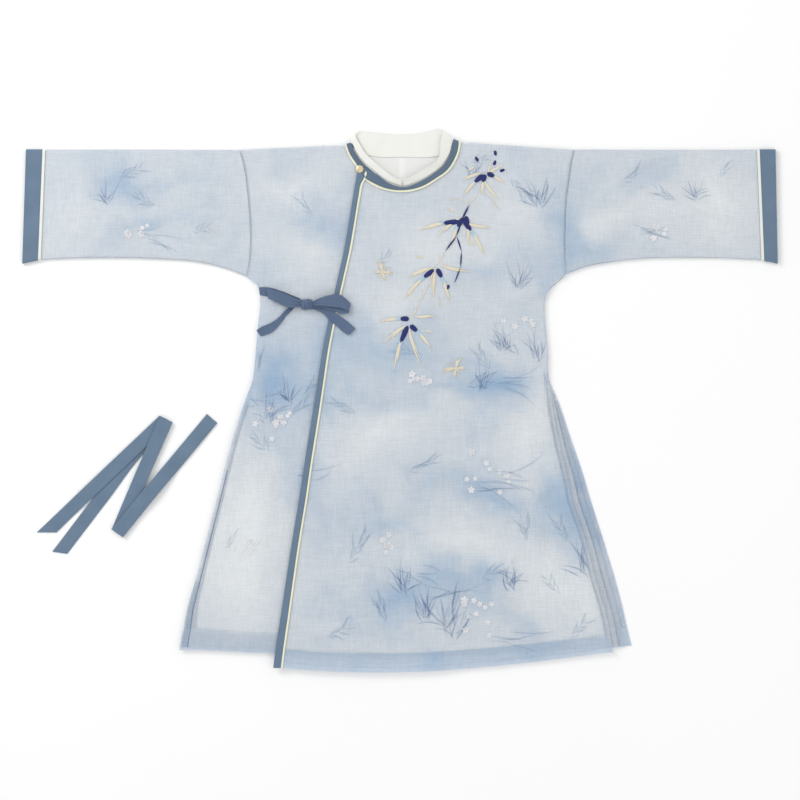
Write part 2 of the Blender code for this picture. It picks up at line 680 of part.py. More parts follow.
def add_dome(name, centre, half, low, high, sides, material, root):
    """A closed rounded lump with a flat base."""
    profile = [(0.86, 0.0), (1.0, 0.3), (0.96, 0.62), (0.7, 0.88), (0.35, 0.98)]
    points = []
    for width, rise in profile:
        for side in range(sides):
            angle = 2 * math.pi * side / sides
            x = centre[0] + half[0] * width * math.cos(angle)
            y = centre[1] + half[1] * width * math.sin(angle)
            points.append((x, y, low + (high - low) * rise))
    points.append((centre[0], centre[1], high))
    faces = [list(range(sides))]
    for ring in range(len(profile) - 1):
        for side in range(sides):
            after = (side + 1) % sides
            base = ring * sides
            faces.append([base + side, base + sides + side, base + sides + after, base + after])
    last = (len(profile) - 1) * sides
    for side in range(sides):
        faces.append([last + side, len(points) - 1, last + (side + 1) % sides])
    add_object(name, points, outward(points, faces), material, root)


def build_button(root):
    """Gold knob at the corner where the neck band meets the placket band."""
    low = level(6) + PITCH
    centre = (-54.5, 311.5)
    half = (BUTTON_RADIUS, BUTTON_RADIUS)
    add_dome("button", centre, half, low, low + BUTTON_HEIGHT, 12, "gold", root)


def build_belt(root):
    """The loose belt, folded in half and laid in a zigzag."""
    for number, table in enumerate((BELT_1, BELT_2, BELT_3, BELT_4), start=1):
        wall = BELT_WALL if number > 2 else WALL
        add_sheet(f"belt_stretch_{number}", cross_rows(table, 2), "slate_cotton", root, wall)


def centre_on_origin(root):
    """Move the whole part so that its bounding box is centred over the origin."""
    bpy.context.view_layer.update()
    corners = [
        thing.matrix_world @ vertex.co
        for thing in root.children for vertex in thing.data.vertices
    ]
    root.location.x = -(min(c.x for c in corners) + max(c.x for c in corners)) / 2
    root.location.y = -(min(c.y for c in corners) + max(c.y for c in corners)) / 2


def main():
    clear_scene()
    root = bpy.data.objects.new("robe", None)
    bpy.context.scene.collection.objects.link(root)
    build_back(root)
    build_under_front(root)
    build_over_front(root)
    build_sleeve("right", RIGHT_SEAM, RIGHT_SLEEVE, RIGHT_CUFF, root)
    build_sleeve("left", LEFT_SEAM, LEFT_SLEEVE, LEFT_CUFF, root)
    build_collar(root)
    build_left_pleat(root)
    build_right_pleat(root)
    build_tie(root)
    build_button(root)
    build_belt(root)
    centre_on_origin(root)


main()
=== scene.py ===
"""Looks of the child's hanfu robe: thin cloth, sewing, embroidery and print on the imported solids.

Lengths in the tables are millimetres. X runs across the robe, Y up towards the collar and Z up
from the table. Right and left are the wearer's, so the right sleeve lies at -X.
"""

import math
import random

import bpy
import numpy as np
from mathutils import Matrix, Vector
from mathutils.bvhtree import BVHTree


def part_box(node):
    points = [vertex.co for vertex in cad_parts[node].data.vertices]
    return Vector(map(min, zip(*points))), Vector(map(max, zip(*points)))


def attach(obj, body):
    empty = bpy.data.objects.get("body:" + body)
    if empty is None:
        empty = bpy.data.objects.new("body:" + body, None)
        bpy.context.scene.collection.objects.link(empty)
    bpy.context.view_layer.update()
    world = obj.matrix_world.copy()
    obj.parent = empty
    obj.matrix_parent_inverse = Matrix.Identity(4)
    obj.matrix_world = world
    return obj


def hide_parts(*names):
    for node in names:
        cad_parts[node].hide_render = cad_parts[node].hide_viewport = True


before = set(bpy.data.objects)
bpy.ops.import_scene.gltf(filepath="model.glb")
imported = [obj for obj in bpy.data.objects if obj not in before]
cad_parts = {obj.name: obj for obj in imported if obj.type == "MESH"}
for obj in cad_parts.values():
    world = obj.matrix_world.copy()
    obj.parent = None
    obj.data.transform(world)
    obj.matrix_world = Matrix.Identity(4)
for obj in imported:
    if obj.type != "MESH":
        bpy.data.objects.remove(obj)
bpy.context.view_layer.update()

MM = 0.001

# Wall of the solids, gap between layers, thickness of the shells, and the belt's pitch and waves
WALL = 1.0
GAP = 0.3
PITCH = WALL + GAP
THIN = 0.5
BAND_WALL = 0.9
COLLAR_WALL = 0.8
TAPE_WALL = 0.8
BELT_PITCH = 0.95
BELT_PHASE = 14
TABLE_GAP = 0.02

# Height of bands, piping and tapes over the cloth below them
BAND_RISE = 1.0
PIPING_RISE = 0.5
PIPING_ROUND = 0.85
TAPE_RISE = 0.5

# Width of the piping, share of a band beside it, and gap of the neck band before the corner row
PIPING = 2.8
BAND_SHARE = 0.96
CORNER_SHARE = 0.03

# The over-front steps down beyond the under-front; the slits start below a height
STEP_START_X = 38.0
STEP_WIDTH = 55.0
SLIT_TOP_Y = 24.0

# How far linings and inner lines stay inside the edges, and how the rows of the back sag
SEAM_INSET = 2.0
SLIT_INSET = 7.0
SLIT_LINING_INSET = 11.0
SHOULDER_INSET = 0.4
BACK_SAG = 14
NECK_ROW_STEP = 14

# Rounded edge of a shell: distance from the edge and share of the thickness
EDGE_TURN = 0.8
EDGE_DROP = 0.25

# Broad folds fade out near the placket, and the lowest layers follow folds and creases less
CREASE_GAIN = 1.35
CALM_TOP_Y = 320
CALM_START = 15
CALM_START_UNDER = 20
CALM_WIDTH = 30
LOWEST_SHARE = 0.28
FULL_RELIEF_Z = 5

# Pleats of a ribbon beside the knot
GATHER_HEIGHT = 0.8
GATHER_REACH = 18.0

# Turns at both sides of a tube pressed flat, in degrees, and points along its flat side
RING_ANGLES = (65, 45, 22, 0, -22, -45, -65)
TUBE_COLUMNS = 34

# Least area of a cut, as a share of its width times its length
LEAST_AREA_SHARE = 0.301

# Table, light and camera; the camera height is in metres
TABLE_HALF = 4000
TABLE_DROP = 0.2
WORLD_LIGHT = 0.80
CAMERA_HEIGHT = 3.005
CAMERA_LENS = 100

# Where the button stands in the tables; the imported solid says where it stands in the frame
BUTTON_PLACE = (-54.5, 311.5)

# Armhole seams from the shoulder down: x, y
RIGHT_SEAM = [
    (-217, 338), (-212, 322), (-208, 300), (-205, 272),
    (-203, 245), (-202, 220), (-203, 195), (-207, 167),
]
LEFT_SEAM = [
    (236, 338), (232, 322), (229, 300), (225, 272),
    (223.5, 245), (223, 220), (223, 195), (224, 170),
]

# Side edges from underarm to hem: x, y
RIGHT_SIDE = [
    (-193, 156), (-189, 135), (-192, 100), (-195, 65), (-199, 28), (-209, 0), (-224, -45),
    (-238, -95), (-251, -145), (-264, -195), (-277, -245), (-288, -283), (-293, -309), (-298, -338),
]
LEFT_SIDE = [
    (209, 160), (201, 148), (196, 135), (195.5, 120), (197, 96), (200, 65), (200, 30), (206, -8),
    (212, -43), (227, -108), (233.5, -140), (245, -172), (255, -205), (262, -235),
    (271, -265), (278, -290), (283.5, -318), (288, -341),
]
LEFT_BACK_SIDE = [
    (201, 148), (196, 135), (197, 100), (200, 65), (202, 28), (214, 0), (229, -45),
    (246, -95), (261, -145), (277, -195), (292, -245), (301, -279), (307, -307), (313, -335),
]

# Over-front edge: neck then placket. edge x, y, outer side of the piping x, y, row sag
OVER_EDGE = [
    (72, 352, 82, 348.5, 0), (70, 341, 81, 338, 0), (66, 328, 76, 324, 0),
    (57, 315, 67, 310, 0), (42, 303, 50, 297, 0), (24, 293, 29, 285, 4),
    (4, 287, 4, 280, 10), (-14, 292, -20, 283, 20), (-34, 306, -39, 291, 30),
    (-56, 317, -47, 297, 36), (-60, 295, -50, 291, 34), (-63, 277, -53, 276, 30),
    (-69, 240, -59, 240, 22), (-76, 200, -66, 200, 14), (-85, 160, -75, 160, 8),
    (-95, 115, -85, 115, 4), (-104, 70, -94, 70, 0), (-112, 20, -101.5, 20, 0),
    (-120, -30, -109, -30, 0), (-128, -80, -117, -80, 0), (-136.5, -135, -125, -135, 1),
    (-145.5, -190, -134, -190, 3), (-154, -245, -142, -245, 6), (-161.5, -295, -149, -295, 9),
    (-168, -337, -155, -337, 12), (-171, -361.5, -158, -361.5, 13.5),
]
OVER_CORNER = 9
OVER_SHARES = (0.09, 0.19, 0.29, 0.39, 0.49, 0.58, 0.67, 0.76, 0.85, 0.93, 1.0)

# Under-front edge: neck then the hidden straight edge. edge x, y, band side x, y
UNDER_EDGE = [
    (-66, 347.5, -75, 344.5), (-62, 337, -70, 331), (-55, 326, -63, 320), (-49, 319, -57, 312),
    (-34, 306, -42, 298), (-14, 292, -20, 283), (-3, 287, -11, 279), (-3, 262, -13, 262),
    (-3, 235, -13, 235), (-3, 200, -13, 200), (-3, 160, -13, 160), (-3, 115, -13, 115),
    (-3, 70, -13, 70), (-3, 20, -13, 20), (-3, -35, -13, -35), (-3, -90, -13, -90),
    (-3, -145, -13, -145), (-3, -200, -13, -200), (-3, -250, -13, -250),
    (-3, -292, -13, -292), (-3, -326, -13, -326), (-3, -349, -13, -349),
]
UNDER_NECK_ROWS = 5
UNDER_SHARES = (0.16, 0.32, 0.48, 0.64, 0.8, 0.92, 1.0)
RIGHT_INSETS = (2, 2, 2, 2, 2, 7, 8, 9, 10, 10.5, 12, 15, 19, 25)

# Broad soft folds of the top layer: start x, y, end x, y, height, half width
FOLDS = [
    (50, -70, 82, -330, 1.8, 24), (150, -10, 196, -300, 2.0, 24), (-30, -120, -62, -335, 1.5, 24),
    (205, 180, 110, 90, 1.8, 20), (-195, 60, -235, -160, 1.4, 20), (-180, -60, -205, -300, 1.5, 22),
    (-232, 196, -300, 300, 2.0, 20), (-300, 215, -430, 262, 1.6, 20), (-340, 320, -460, 300, 1.3, 20),
    (250, 196, 322, 296, 2.0, 20), (320, 214, 440, 266, 1.6, 20), (350, 318, 462, 304, 1.3, 20),
]

# Finer creases, troughs where the height is negative: start x, y, end x, y, height, half width, bow
CREASES = [
    (196, 150, 96, 132, 0.9, 6, 9), (202, 142, 120, 84, -0.8, 7, -8), (190, 112, 104, 66, 0.7, 7, 6),
    (-184, 152, -112, 168, 0.8, 6, 6), (-186, 132, -100, 112, -0.7, 7, -7),
    (-190, 96, -120, 60, 0.6, 7, 5), (-184, 126, -122, 92, 0.7, 5, -4), (-72, 128, 10, 116, 0.6, 6, 5),
    (-78, 104, -14, 70, -0.6, 7, -5), (-44, 282, -12, 206, 0.6, 7, 8), (60, 286, 112, 214, 0.7, 8, -9),
    (96, 322, 186, 262, -0.7, 8, 8), (-96, 318, -176, 258, -0.7, 8, -8), (-80, 286, -150, 214, 0.6, 8, 6),
    (160, 250, 214, 176, 0.7, 8, 7), (20, 40, 34, -190, 0.7, 9, 10), (104, 60, 132, -210, -0.8, 10, -12),
    (186, 60, 214, -90, 0.7, 8, -6), (222, -120, 262, -326, -0.8, 8, 6),
    (120, -160, 134, -350, 0.8, 9, 8), (12, -180, 4, -352, -0.8, 9, -9),
    (-92, -150, -112, -348, -0.7, 9, 6), (-70, 20, -86, -120, 0.6, 8, -6),
    (-206, -20, -246, -250, -0.7, 8, 8), (-168, -90, -186, -320, 0.6, 8, -6),
    (-228, -130, -268, -326, 0.8, 8, 5), (-150, 40, -168, -80, -0.6, 8, 5),
    (176, -130, 236, -330, -0.7, 9, -8), (60, 160, 150, 150, 0.5, 9, 12), (0, 210, 90, 196, -0.5, 9, -10),
    (-214, 232, -286, 214, -0.8, 6, 7), (-222, 206, -352, 210, 0.7, 6, 6),
    (-254, 262, -348, 268, -0.7, 9, 12), (-300, 330, -340, 236, 0.6, 8, 10),
    (-390, 326, -404, 216, -0.6, 8, -8), (-428, 330, -440, 222, 0.7, 7, 7),
    (-464, 318, -476, 214, -0.5, 6, 4), (-236, 320, -262, 240, 0.6, 7, -8),
    (232, 236, 300, 214, -0.8, 6, -7), (242, 206, 372, 212, 0.7, 6, -6),
    (276, 262, 366, 272, -0.7, 9, -12), (322, 330, 352, 240, 0.6, 8, -10),
    (402, 328, 416, 218, -0.6, 8, 8), (440, 330, 448, 224, 0.7, 7, -7), (468, 320, 480, 214, -0.5, 6, -4),
    (252, 322, 276, 244, 0.6, 7, 8),
]

# Sleeve sections from the armhole to the cuff: top x, y, bottom x, y
RIGHT_SLEEVE = [
    (-244, 338, -238, 178), (-280, 338, -275, 186.5), (-330, 338.5, -328, 190.5),
    (-385, 338.5, -385, 192), (-435, 338.5, -437, 191.5), (-478.5, 338.5, -484.5, 189.5),
]
LEFT_SLEEVE = [
    (258, 338.5, 252, 180), (290, 338, 288, 186.5), (330, 338, 330, 191),
    (382, 338, 382, 192), (432, 338, 434, 191.5), (481.5, 338.5, 487.5, 189),
]
RIGHT_CUFF = [(-482.8, 338.8, -489, 188.4), (-493, 338.8, -499, 186.6), (-505, 338.8, -510, 184)]
LEFT_CUFF = [(485.8, 338.8, 492, 187.6), (496, 338.8, 502, 186), (507, 338.8, 510, 184)]
SLEEVE_LEAN = (1.0, 0.55, 0.25, 0.08, 0.0, 0.0, 0.0)

# Stand collar from the front centre round the back: seam x, y, z, top edge x, y, z
COLLAR = [
    (2.0, 289.4, 6.9, 1.4, 296, 10.2), (-13, 294.6, 6.9, -7, 299.5, 10.6),
    (-32.6, 308.2, 6.6, -23, 311.5, 10.4), (-47.2, 321, 5.6, -36, 322.5, 9.6),
    (-57, 332.6, 4.8, -46, 332, 8.6), (-64, 346, 4.3, -54, 344.5, 7.4),
    (-66.6, 350.5, 3.6, -60.2, 358.5, 4.6), (-62, 348.2, 1.9, -55, 362.6, 2.2),
    (-53, 334.5, 2.9, -40, 361.5, 1.8), (-36, 329.6, 3.0, -25, 360, 1.8),
    (6, 328.4, 3.0, 2, 358.2, 1.8), (49, 329.6, 3.0, 31, 361, 1.8),
    (62, 334.5, 2.9, 44, 364, 1.8), (67, 348.6, 2.2, 51, 366.2, 2.2),
    (72, 354.0, 3.6, 57, 364.6, 4.6), (70.0, 345.4, 4.8, 54.5, 346, 7.4),
    (66.4, 333, 5.4, 54, 333, 8.4), (57.4, 318.8, 6.0, 49, 321.6, 9.2),
    (42.0, 305.8, 6.5, 32, 311.4, 9.8), (23.4, 295.4, 6.8, 14, 300, 10.2),
    (5.0, 289.4, 6.9, 4.6, 297, 10.4),
]
BACK_NECK = [(-74, 343.5), (-52, 337.5), (-25, 335), (3, 334), (31, 335), (58, 338), (82, 346.5)]
BACK_BAND_DEPTHS = (4.0, 6.0, 8.0, 8.0, 8.0, 7.0, 4.5)
LINING_NECK = [(-68, 341), (-50, 339), (-36, 333), (6, 332), (49, 333), (60, 339), (74, 342)]

# Folded left side pleat: y, front edge x, outermost x
LEFT_PLEAT = [
    (12, 203.2, 207.4), (-12, 207, 217.5), (-43, 212, 228.5), (-75, 218.5, 239), (-108, 227, 250),
    (-140, 233.5, 259.5), (-172, 245, 270), (-205, 255, 280), (-235, 262, 289), (-265, 271, 297),
    (-290, 278, 303.5), (-334, 286.5, 312.4),
]
# Folded right side pleat: y, outermost x, depth of the pleat
RIGHT_PLEAT = [
    (-6, -210.5, 5), (-45, -223.5, 5.5), (-95, -237.5, 6.5), (-145, -250.5, 7.5), (-195, -263.5, 8),
    (-245, -276.5, 9), (-283, -287.5, 11), (-309, -292.5, 13), (-334, -297, 13.5),
]
PLEAT_INNER = 4.0
PLEAT_START = 0.8

# Tie ribbons, cross rows along each: upper edge x, y, lower edge x, y, z of the underside
TIE_ROOT = [
    (-190.5, 152, -189, 141.5, 5.2), (-178, 152, -178.5, 140, 5.2), (-160, 147, -162, 136.5, 5.2),
    (-145, 141, -147, 130.5, 5.2), (-135, 137, -135, 129, 5.2),
]
TIE_LOOP_RIGHT = [
    (-133.0, 134.6, -133.0, 126.4, 6.6), (-152, 141.6, -151, 125, 6.5), (-165, 146.6, -163, 130, 6.5),
    (-176, 149.6, -174.6, 135.6, 6.7), (-179, 151.4, -177.4, 136.6, 8.4),
    (-176, 150.4, -174.6, 135.6, 10.0), (-165, 147, -163, 130.4, 10.8),
    (-152, 142, -151, 125.2, 11.0), (-133.0, 134.8, -133.0, 126.0, 9.4),
]
TIE_LOOP_LEFT = [
    (-119.4, 131, -119.4, 126.2, 9.2), (-103, 138.4, -103, 123.4, 10.6), (-90, 141.4, -88, 119, 10.6),
    (-79, 141, -78, 116, 10.8), (-67, 130, -69, 118.4, 12.6), (-72, 134.6, -74, 122, 14.4),
    (-80, 141.4, -84, 124.8, 15.0), (-90, 142, -96, 126, 15.2), (-104, 138.6, -106, 127, 15.0),
    (-119.4, 132.6, -119.4, 128, 9.6),
]
TIE_TAIL_RIGHT = [
    (-143.6, 130.2, -141.4, 126.4, 5.2), (-149.8, 124.6, -146.6, 120.4, 5.2),
    (-156, 120, -152.6, 115, 5.2), (-162, 113, -158.6, 106.8, 5.2),
    (-173, 104.6, -166.4, 97, 5.2), (-186, 99, -175.4, 90, 5.2), (-194, 94, -188, 86, 5.2),
]
TIE_TAIL_LEFT = [
    (-119.4, 128.0, -119.4, 123.4, 7.4), (-103, 124.4, -103.6, 117, 9.1), (-90, 119, -96, 108.4, 9.1),
    (-80, 112.6, -84, 98.4, 9.1), (-68, 103.6, -73, 89.4, 9.1), (-60, 96, -68, 88, 9.1),
]
TIE_KNOT_CENTRE = (-126, 129.0)
TIE_KNOT_HALF = (8.6, 7.4)
TIE_KNOT_LOW = 5.2
TIE_KNOT_HIGH = 14.2
TIE_KNOT_COLUMNS = 27

# Belt stretches, cross rows along each: left edge x, y, right edge x, y, z of the underside
BELT_1 = [
    (-491, -179, -464.5, -179, 0), (-455, -144.8, -442.6, -157.8, 0),
    (-433, -123.8, -420.6, -136.8, 1.3), (-380, -73.4, -367.6, -86.4, 1.3),
    (-325.0, -21.2, -312.5, -34.2, 1.3),
]
BELT_2 = [
    (-470, -205, -450, -208, 0), (-411, -127, -396.6, -138, 0), (-363.4, -64.2, -349, -75, 0),
    (-331.5, -31.5, -318, -42, 0),
]
BELT_3 = [
    (-324, -21.4, -307, -30, 2.6), (-336, -49.2, -318.8, -57, 2.6), (-353.6, -90, -336.6, -97.6, 2.6),
    (-370, -128, -353, -135.4, 0), (-389, -173, -373, -181, 0),
]
BELT_4 = [
    (-390, -174.6, -374, -185.4, 2.3), (-366, -145.4, -351.6, -157.4, 2.3),
    (-340.6, -114.6, -326.4, -126.6, 4.0), (-313, -81.4, -298.8, -93.6, 0), (-261, -19, -247, -31, 0),
]

# Soft blue washes of the print: x, y, half width, half height, turn in degrees, strength
WASHES = [
    (222, 236, 64, 110, 8, 0.5), (-20, 74, 92, 44, -8, 0.5), (-150, 26, 62, 80, 30, 0.64),
    (130, 22, 90, 40, -14, 0.5), (10, -252, 126, 52, 6, 0.6), (-208, -276, 60, 40, 12, 0.45),
    (190, -300, 60, 34, -10, 0.3), (122, -124, 100, 30, -6, 0.42), (-40, -150, 90, 32, 14, 0.4),
    (-352, 296, 74, 40, -12, 0.4), (352, 300, 76, 34, 8, 0.22), (-300, 226, 60, 26, 10, 0.3),
    (300, 208, 70, 26, -8, 0.2), (104, 172, 66, 32, 10, 0.3), (238, -150, 34, 110, 12, 0.4),
    (-120, 230, 70, 44, -10, 0.25), (-130, -96, 50, 50, 0, 0.42), (40, 10, 120, 26, 6, 0.35),
]
# Bare pale places of the print, written the same way
CLEARINGS = [
    (-20, -44, 92, 40, 10, 0.8), (60, 214, 60, 52, 0, 0.6), (196, -40, 66, 56, 0, 0.8),
    (-214, -156, 66, 84, 10, 1.2), (-226, -260, 72, 74, 6, 1.3), (250, -262, 44, 60, 14, 0.6),
    (-430, 260, 60, 60, 0, 0.4), (-150, 300, 60, 36, 0, 0.5), (420, 250, 90, 60, 0, 0.8),
    (-140, 190, 60, 40, 0, 0.6), (90, -196, 90, 34, -8, 0.7), (0, 130, 70, 24, 4, 0.5),
    (196, -236, 60, 50, 0, 0.8), (300, 262, 60, 40, 0, 0.6), (140, 262, 50, 60, 0, 0.5),
]

# Printed sprigs: x, y, heading, size
SPRIGS = [
    (-190, 40, 1.9, 46), (-150, -20, 0.6, 40), (-178, -70, 2.3, 38), (-236, -200, 0.9, 30),
    (-60, -20, 2.6, 36), (10, -96, 0.4, 44), (-70, -220, 1.0, 50), (-20, -300, 1.9, 46),
    (60, -310, 1.2, 50), (110, -240, 0.5, 46), (170, -190, 1.7, 46), (214, -262, 2.2, 40),
    (90, 20, 0.3, 44), (160, 60, 2.5, 46), (196, 8, 1.4, 40), (150, 300, -0.9, 40), (196, 268, 2.4, 34),
    (-330, 262, 2.7, 34), (224, -190, 2.0, 40), (-380, 300, 0.4, 36), (-280, 228, 0.2, 28),
    (300, 296, 0.5, 34), (372, 268, 2.6, 36), (120, 40, 2.1, 40), (430, 300, 0.9, 28),
    (-120, 250, 2.2, 30), (30, 60, 2.9, 34), (230, -320, 0.8, 36), (-190, -10, 2.6, 34),
    (-100, -320, 0.4, 40), (-30, 180, 0.9, 28), (96, 322, 0.2, 26), (-196, 80, 1.5, 36),
    (-130, 8, 0.9, 34),
]
# Printed tufts: x, y, size
TUFTS = [
    (66, -322, 56), (36, -296, 38), (250, -236, 50), (262, -196, 32), (6, -262, 38), (-178, -32, 38),
    (158, 150, 32), (110, 12, 34), (-200, 36, 34), (-150, -6, 30), (186, 262, 38), (398, 270, 26),
    (-396, 264, 28), (150, -256, 34), (186, 52, 36), (140, 66, 28), (98, 300, 24),
]
# Printed brush lines: x, y, length
RIPPLES = [
    (90, -126, 110), (140, -112, 80), (-120, -108, 60), (60, -270, 90), (150, -330, 80), (20, -240, 60),
    (-190, -4, 50), (150, 16, 70), (-340, 214, 60), (330, 222, 60),
]
# Printed blossom groups: x, y, spread, count
BLOSSOMS = [
    (-158, -24, 16, 9), (120, -106, 18, 10), (92, -284, 20, 11), (-206, -200, 14, 7),
    (20, 30, 14, 7), (170, 110, 12, 5), (-360, 232, 12, 5), (340, 232, 12, 5), (-16, -190, 14, 6),
]

# Embroidered fans of leaves: centre x, y, then heading in degrees, length and whether it is shaded
FANS = [
    (116, 308, [(196, 26, 0), (228, 34, 1), (262, 27, 1), (302, 30, 0), (334, 27, 1), (18, 18, 0)]),
    (94, 262, [(182, 42, 1), (208, 40, 0), (236, 42, 1), (276, 32, 1), (312, 40, 1), (344, 27, 0)]),
    (66, 212, [(192, 36, 0), (222, 40, 1), (256, 36, 0), (300, 40, 1), (332, 30, 0)]),
    (40, 158, [(186, 35, 1), (214, 38, 0), (244, 44, 1), (278, 46, 0), (312, 39, 1), (346, 24, 0)]),
]
STEM = [
    (124, 324), (119, 306), (112, 292), (101, 278), (93, 262), (88, 246), (77, 231), (66, 214), (60, 198),
    (50, 178), (41, 158),
]
SIDE_STEM = [(88, 246), (93, 230), (92, 214), (86, 198)]
TENDRILS = [
    [(112, 292), (124, 284), (132, 272)], [(66, 214), (54, 208), (42, 208)],
    [(60, 198), (68, 186), (72, 172)], [(101, 278), (90, 284), (80, 283)],
]
# Buds in navy and in gold: x, y, heading in degrees
BUDS = [(126, 318, 70), (132, 312, 20), (110, 322, 120), (128, 328, 100), (80, 196, 250), (34, 150, 265)]
GOLD_BUDS = [(106, 316, 200), (86, 270, 150), (54, 224, 170), (56, 150, 330), (100, 240, 330)]
# Butterflies: x, y, heading, size
BUTTERFLIES = [(-24, 172, 0.9, 17), (76, 42, 2.3, 18)]
SPRAY_TOP = (124, 322)
SPRAY_SCALE = 1.32

# Nodes that carry the print, and the turn of the sprigs at the back
FRONT_NODES = ("front_over", "front_under", "sleeve_right", "sleeve_left")
BACK_NODES = ("back_outer", "sleeve_right", "sleeve_left")
BACK_TURN = 0.7

# Leaves, flowers and stitches; a stitch line runs at a distance from its edge
LEAF_COLUMNS = (-1.0, -0.5, 0.0, 0.5, 1.0)
PETALS = 5
STITCH_START = 1.5
STITCH_WIDTH = 0.55
HEM_STITCH = 7.0
SLIT_STITCH = 5.0
SEAM_STITCH = 2.6
CUFF_TOP_Y = 336
CUFF_LOW_Y = 188
SEAM_TOP_Y = 327
SEAM_LOW_Y = 298
LINING_SEAMS_X = (-1.0, 6.5)
CENTRE_SEAM = (3.4, 327.5)
CORNER_PATH = [(-48.6, 295), (-46.9, 301), (-45.7, 308.5)]

# Reach and strength of a soft patch, scale of one wave in a metre, and pitch of the threads in metres
PATCH_REACH = 1.7
PATCH_GAIN = 1.5
WAVE_SCALE = 0.314
STITCH_PITCH = 0.0007

# Rings of the button from its foot up: share of the radius, share of the height
KNOB_RINGS = [(0.6, 0.0), (0.98, 0.3), (1.0, 0.6), (0.82, 0.84), (0.5, 1.0)]
KNOB_SIDES = 8
KNOB_RADIUS = 5.5
KNOB_SUNK = 3.4


def step_down(value):
    """Ease from 0 to 1 over the unit range."""
    value = np.clip(value, 0.0, 1.0)
    return value * value * (3 - 2 * value)


def level(number):
    """Underside height of the numbered layer of cloth."""
    return number * PITCH


def top_of(number):
    """Upper side of the numbered layer of cloth."""
    return level(number) + WALL


def mix(start, end, share):
    """Point part of the way from start to end."""
    return tuple(a + (b - a) * share for a, b in zip(start, end))


def placket_x(y):
    """Left edge of the over-front at a height down the robe."""
    rows = OVER_EDGE[OVER_CORNER:]
    heights = [row[1] for row in reversed(rows)]
    return np.interp(y, heights, [row[0] for row in reversed(rows)])


def over_lift(x):
    """The over-front lies two layers higher where the under-front is beneath it."""
    return 2 * PITCH * (1 - step_down((x - STEP_START_X) / STEP_WIDTH))


def beside_line(x, y, start_x, start_y, end_x, end_y):
    """Share of the way along a line, distance to its side and a swell that ends with the line."""
    dx, dy = end_x - start_x, end_y - start_y
    length = math.hypot(dx, dy)
    along = ((x - start_x) * dx + (y - start_y) * dy) / length ** 2
    sideways = ((x - start_x) * dy - (y - start_y) * dx) / length
    return along, sideways, np.sin(np.pi * np.clip(along, 0, 1))


def folds_at(x, y):
    """Height of the broad soft folds."""
    height = np.zeros_like(x)
    for *line, rise, half_width in FOLDS:
        _, sideways, swell = beside_line(x, y, *line)
        height += rise * swell * np.exp(-(sideways / half_width) ** 2)
    return height


def creases_at(x, y):
    """Height of the finer creases and of the faint waviness of cloth that was pressed flat."""
    height = np.zeros_like(x)
    for number, (*line, rise, half_width, bow) in enumerate(CREASES):
        along, sideways, swell = beside_line(x, y, *line)
        uneven = 1 + 0.35 * np.sin(along * 7 + number) + 0.2 * np.sin(along * 17 + number * 2.3)
        width = half_width * (1 + 0.3 * np.sin(along * 5 + number * 1.7))
        across = (sideways + bow * swell) / width
        height += CREASE_GAIN * rise * uneven * swell ** 0.8 * np.exp(-across ** 2)
    height += 0.14 * np.sin(x / 17 + 1.5 * np.sin(y / 61)) * np.sin(y / 29 + 0.6 * np.sin(x / 43))
    height += 0.10 * np.sin(x / 9.5 + y / 14 + 2 * np.sin(y / 37)) * np.sin(y / 23 - x / 51)
    return height


def relief(points):
    """Lift every layer by the folds and creases; the lower layers follow them less."""
    x, y, z = points[..., 0], points[..., 1], points[..., 2]
    edge = placket_x(y)
    calm = np.where((y < CALM_TOP_Y) & (x > edge), step_down((x - edge - CALM_START) / CALM_WIDTH), 1.0)
    under = np.where(x < edge, step_down((edge - CALM_START_UNDER - x) / CALM_WIDTH), 1.0)
    height = folds_at(x, y) * np.minimum(calm, under) + creases_at(x, y)
    depth = step_down(z / FULL_RELIEF_Z)
    share = LOWEST_SHARE + (1 - LOWEST_SHARE) * depth
    moved = points.copy()
    moved[..., 2] += np.maximum(height, 0) * share + np.minimum(height, 0) * depth
    return moved


def knots_of(points):
    """Distance along rows of points, 0 at the first row."""
    lengths = np.linalg.norm(np.diff(points, axis=0), axis=-1)
    if lengths.ndim == 2:
        lengths = lengths.mean(axis=1)
    return np.concatenate([[0.0], np.cumsum(lengths)])


def stations(knots, step):
    """Places along a curve: every knot, steps between them and one close to each end."""
    places = [knots[0]]
    for start, end in zip(knots, knots[1:]):
        count = max(1, math.ceil((end - start) / step))
        places.extend(start + (end - start) * (n + 1) / count for n in range(count))
    turn = min(EDGE_TURN, step / 2, (knots[-1] - knots[0]) / 8)
    places = [p for p in places if knots[0] + turn * 1.5 < p < knots[-1] - turn * 1.5]
    return np.array([knots[0], knots[0] + turn] + places + [knots[-1] - turn, knots[-1]])


def spline(points, knots, places, breaks=()):
    """Smooth curve through rows of points, with a corner at each break."""
    gaps = np.diff(knots)
    shape = (-1,) + (1,) * (points.ndim - 1)
    secants = np.diff(points, axis=0) / gaps.reshape(shape)
    slopes = np.empty_like(points)
    slopes[0], slopes[-1] = secants[0], secants[-1]
    if len(points) > 2:
        before, after = gaps[:-1].reshape(shape), gaps[1:].reshape(shape)
        slopes[1:-1] = (after * secants[:-1] + before * secants[1:]) / (before + after)
    leaving, arriving = slopes.copy(), slopes.copy()
    for index in breaks:
        leaving[index], arriving[index] = secants[index], secants[index - 1]
    spans = np.clip(np.searchsorted(knots, places, side="right") - 1, 0, len(gaps) - 1)
    width = gaps[spans].reshape(shape)
    s = ((places - knots[spans]) / gaps[spans]).reshape(shape)
    return (
        (2 * s ** 3 - 3 * s ** 2 + 1) * points[spans] + (s ** 3 - 2 * s ** 2 + s) * width * leaving[spans]
        + (3 * s ** 2 - 2 * s ** 3) * points[spans + 1] + (s ** 3 - s ** 2) * width * arriving[spans + 1]
    )


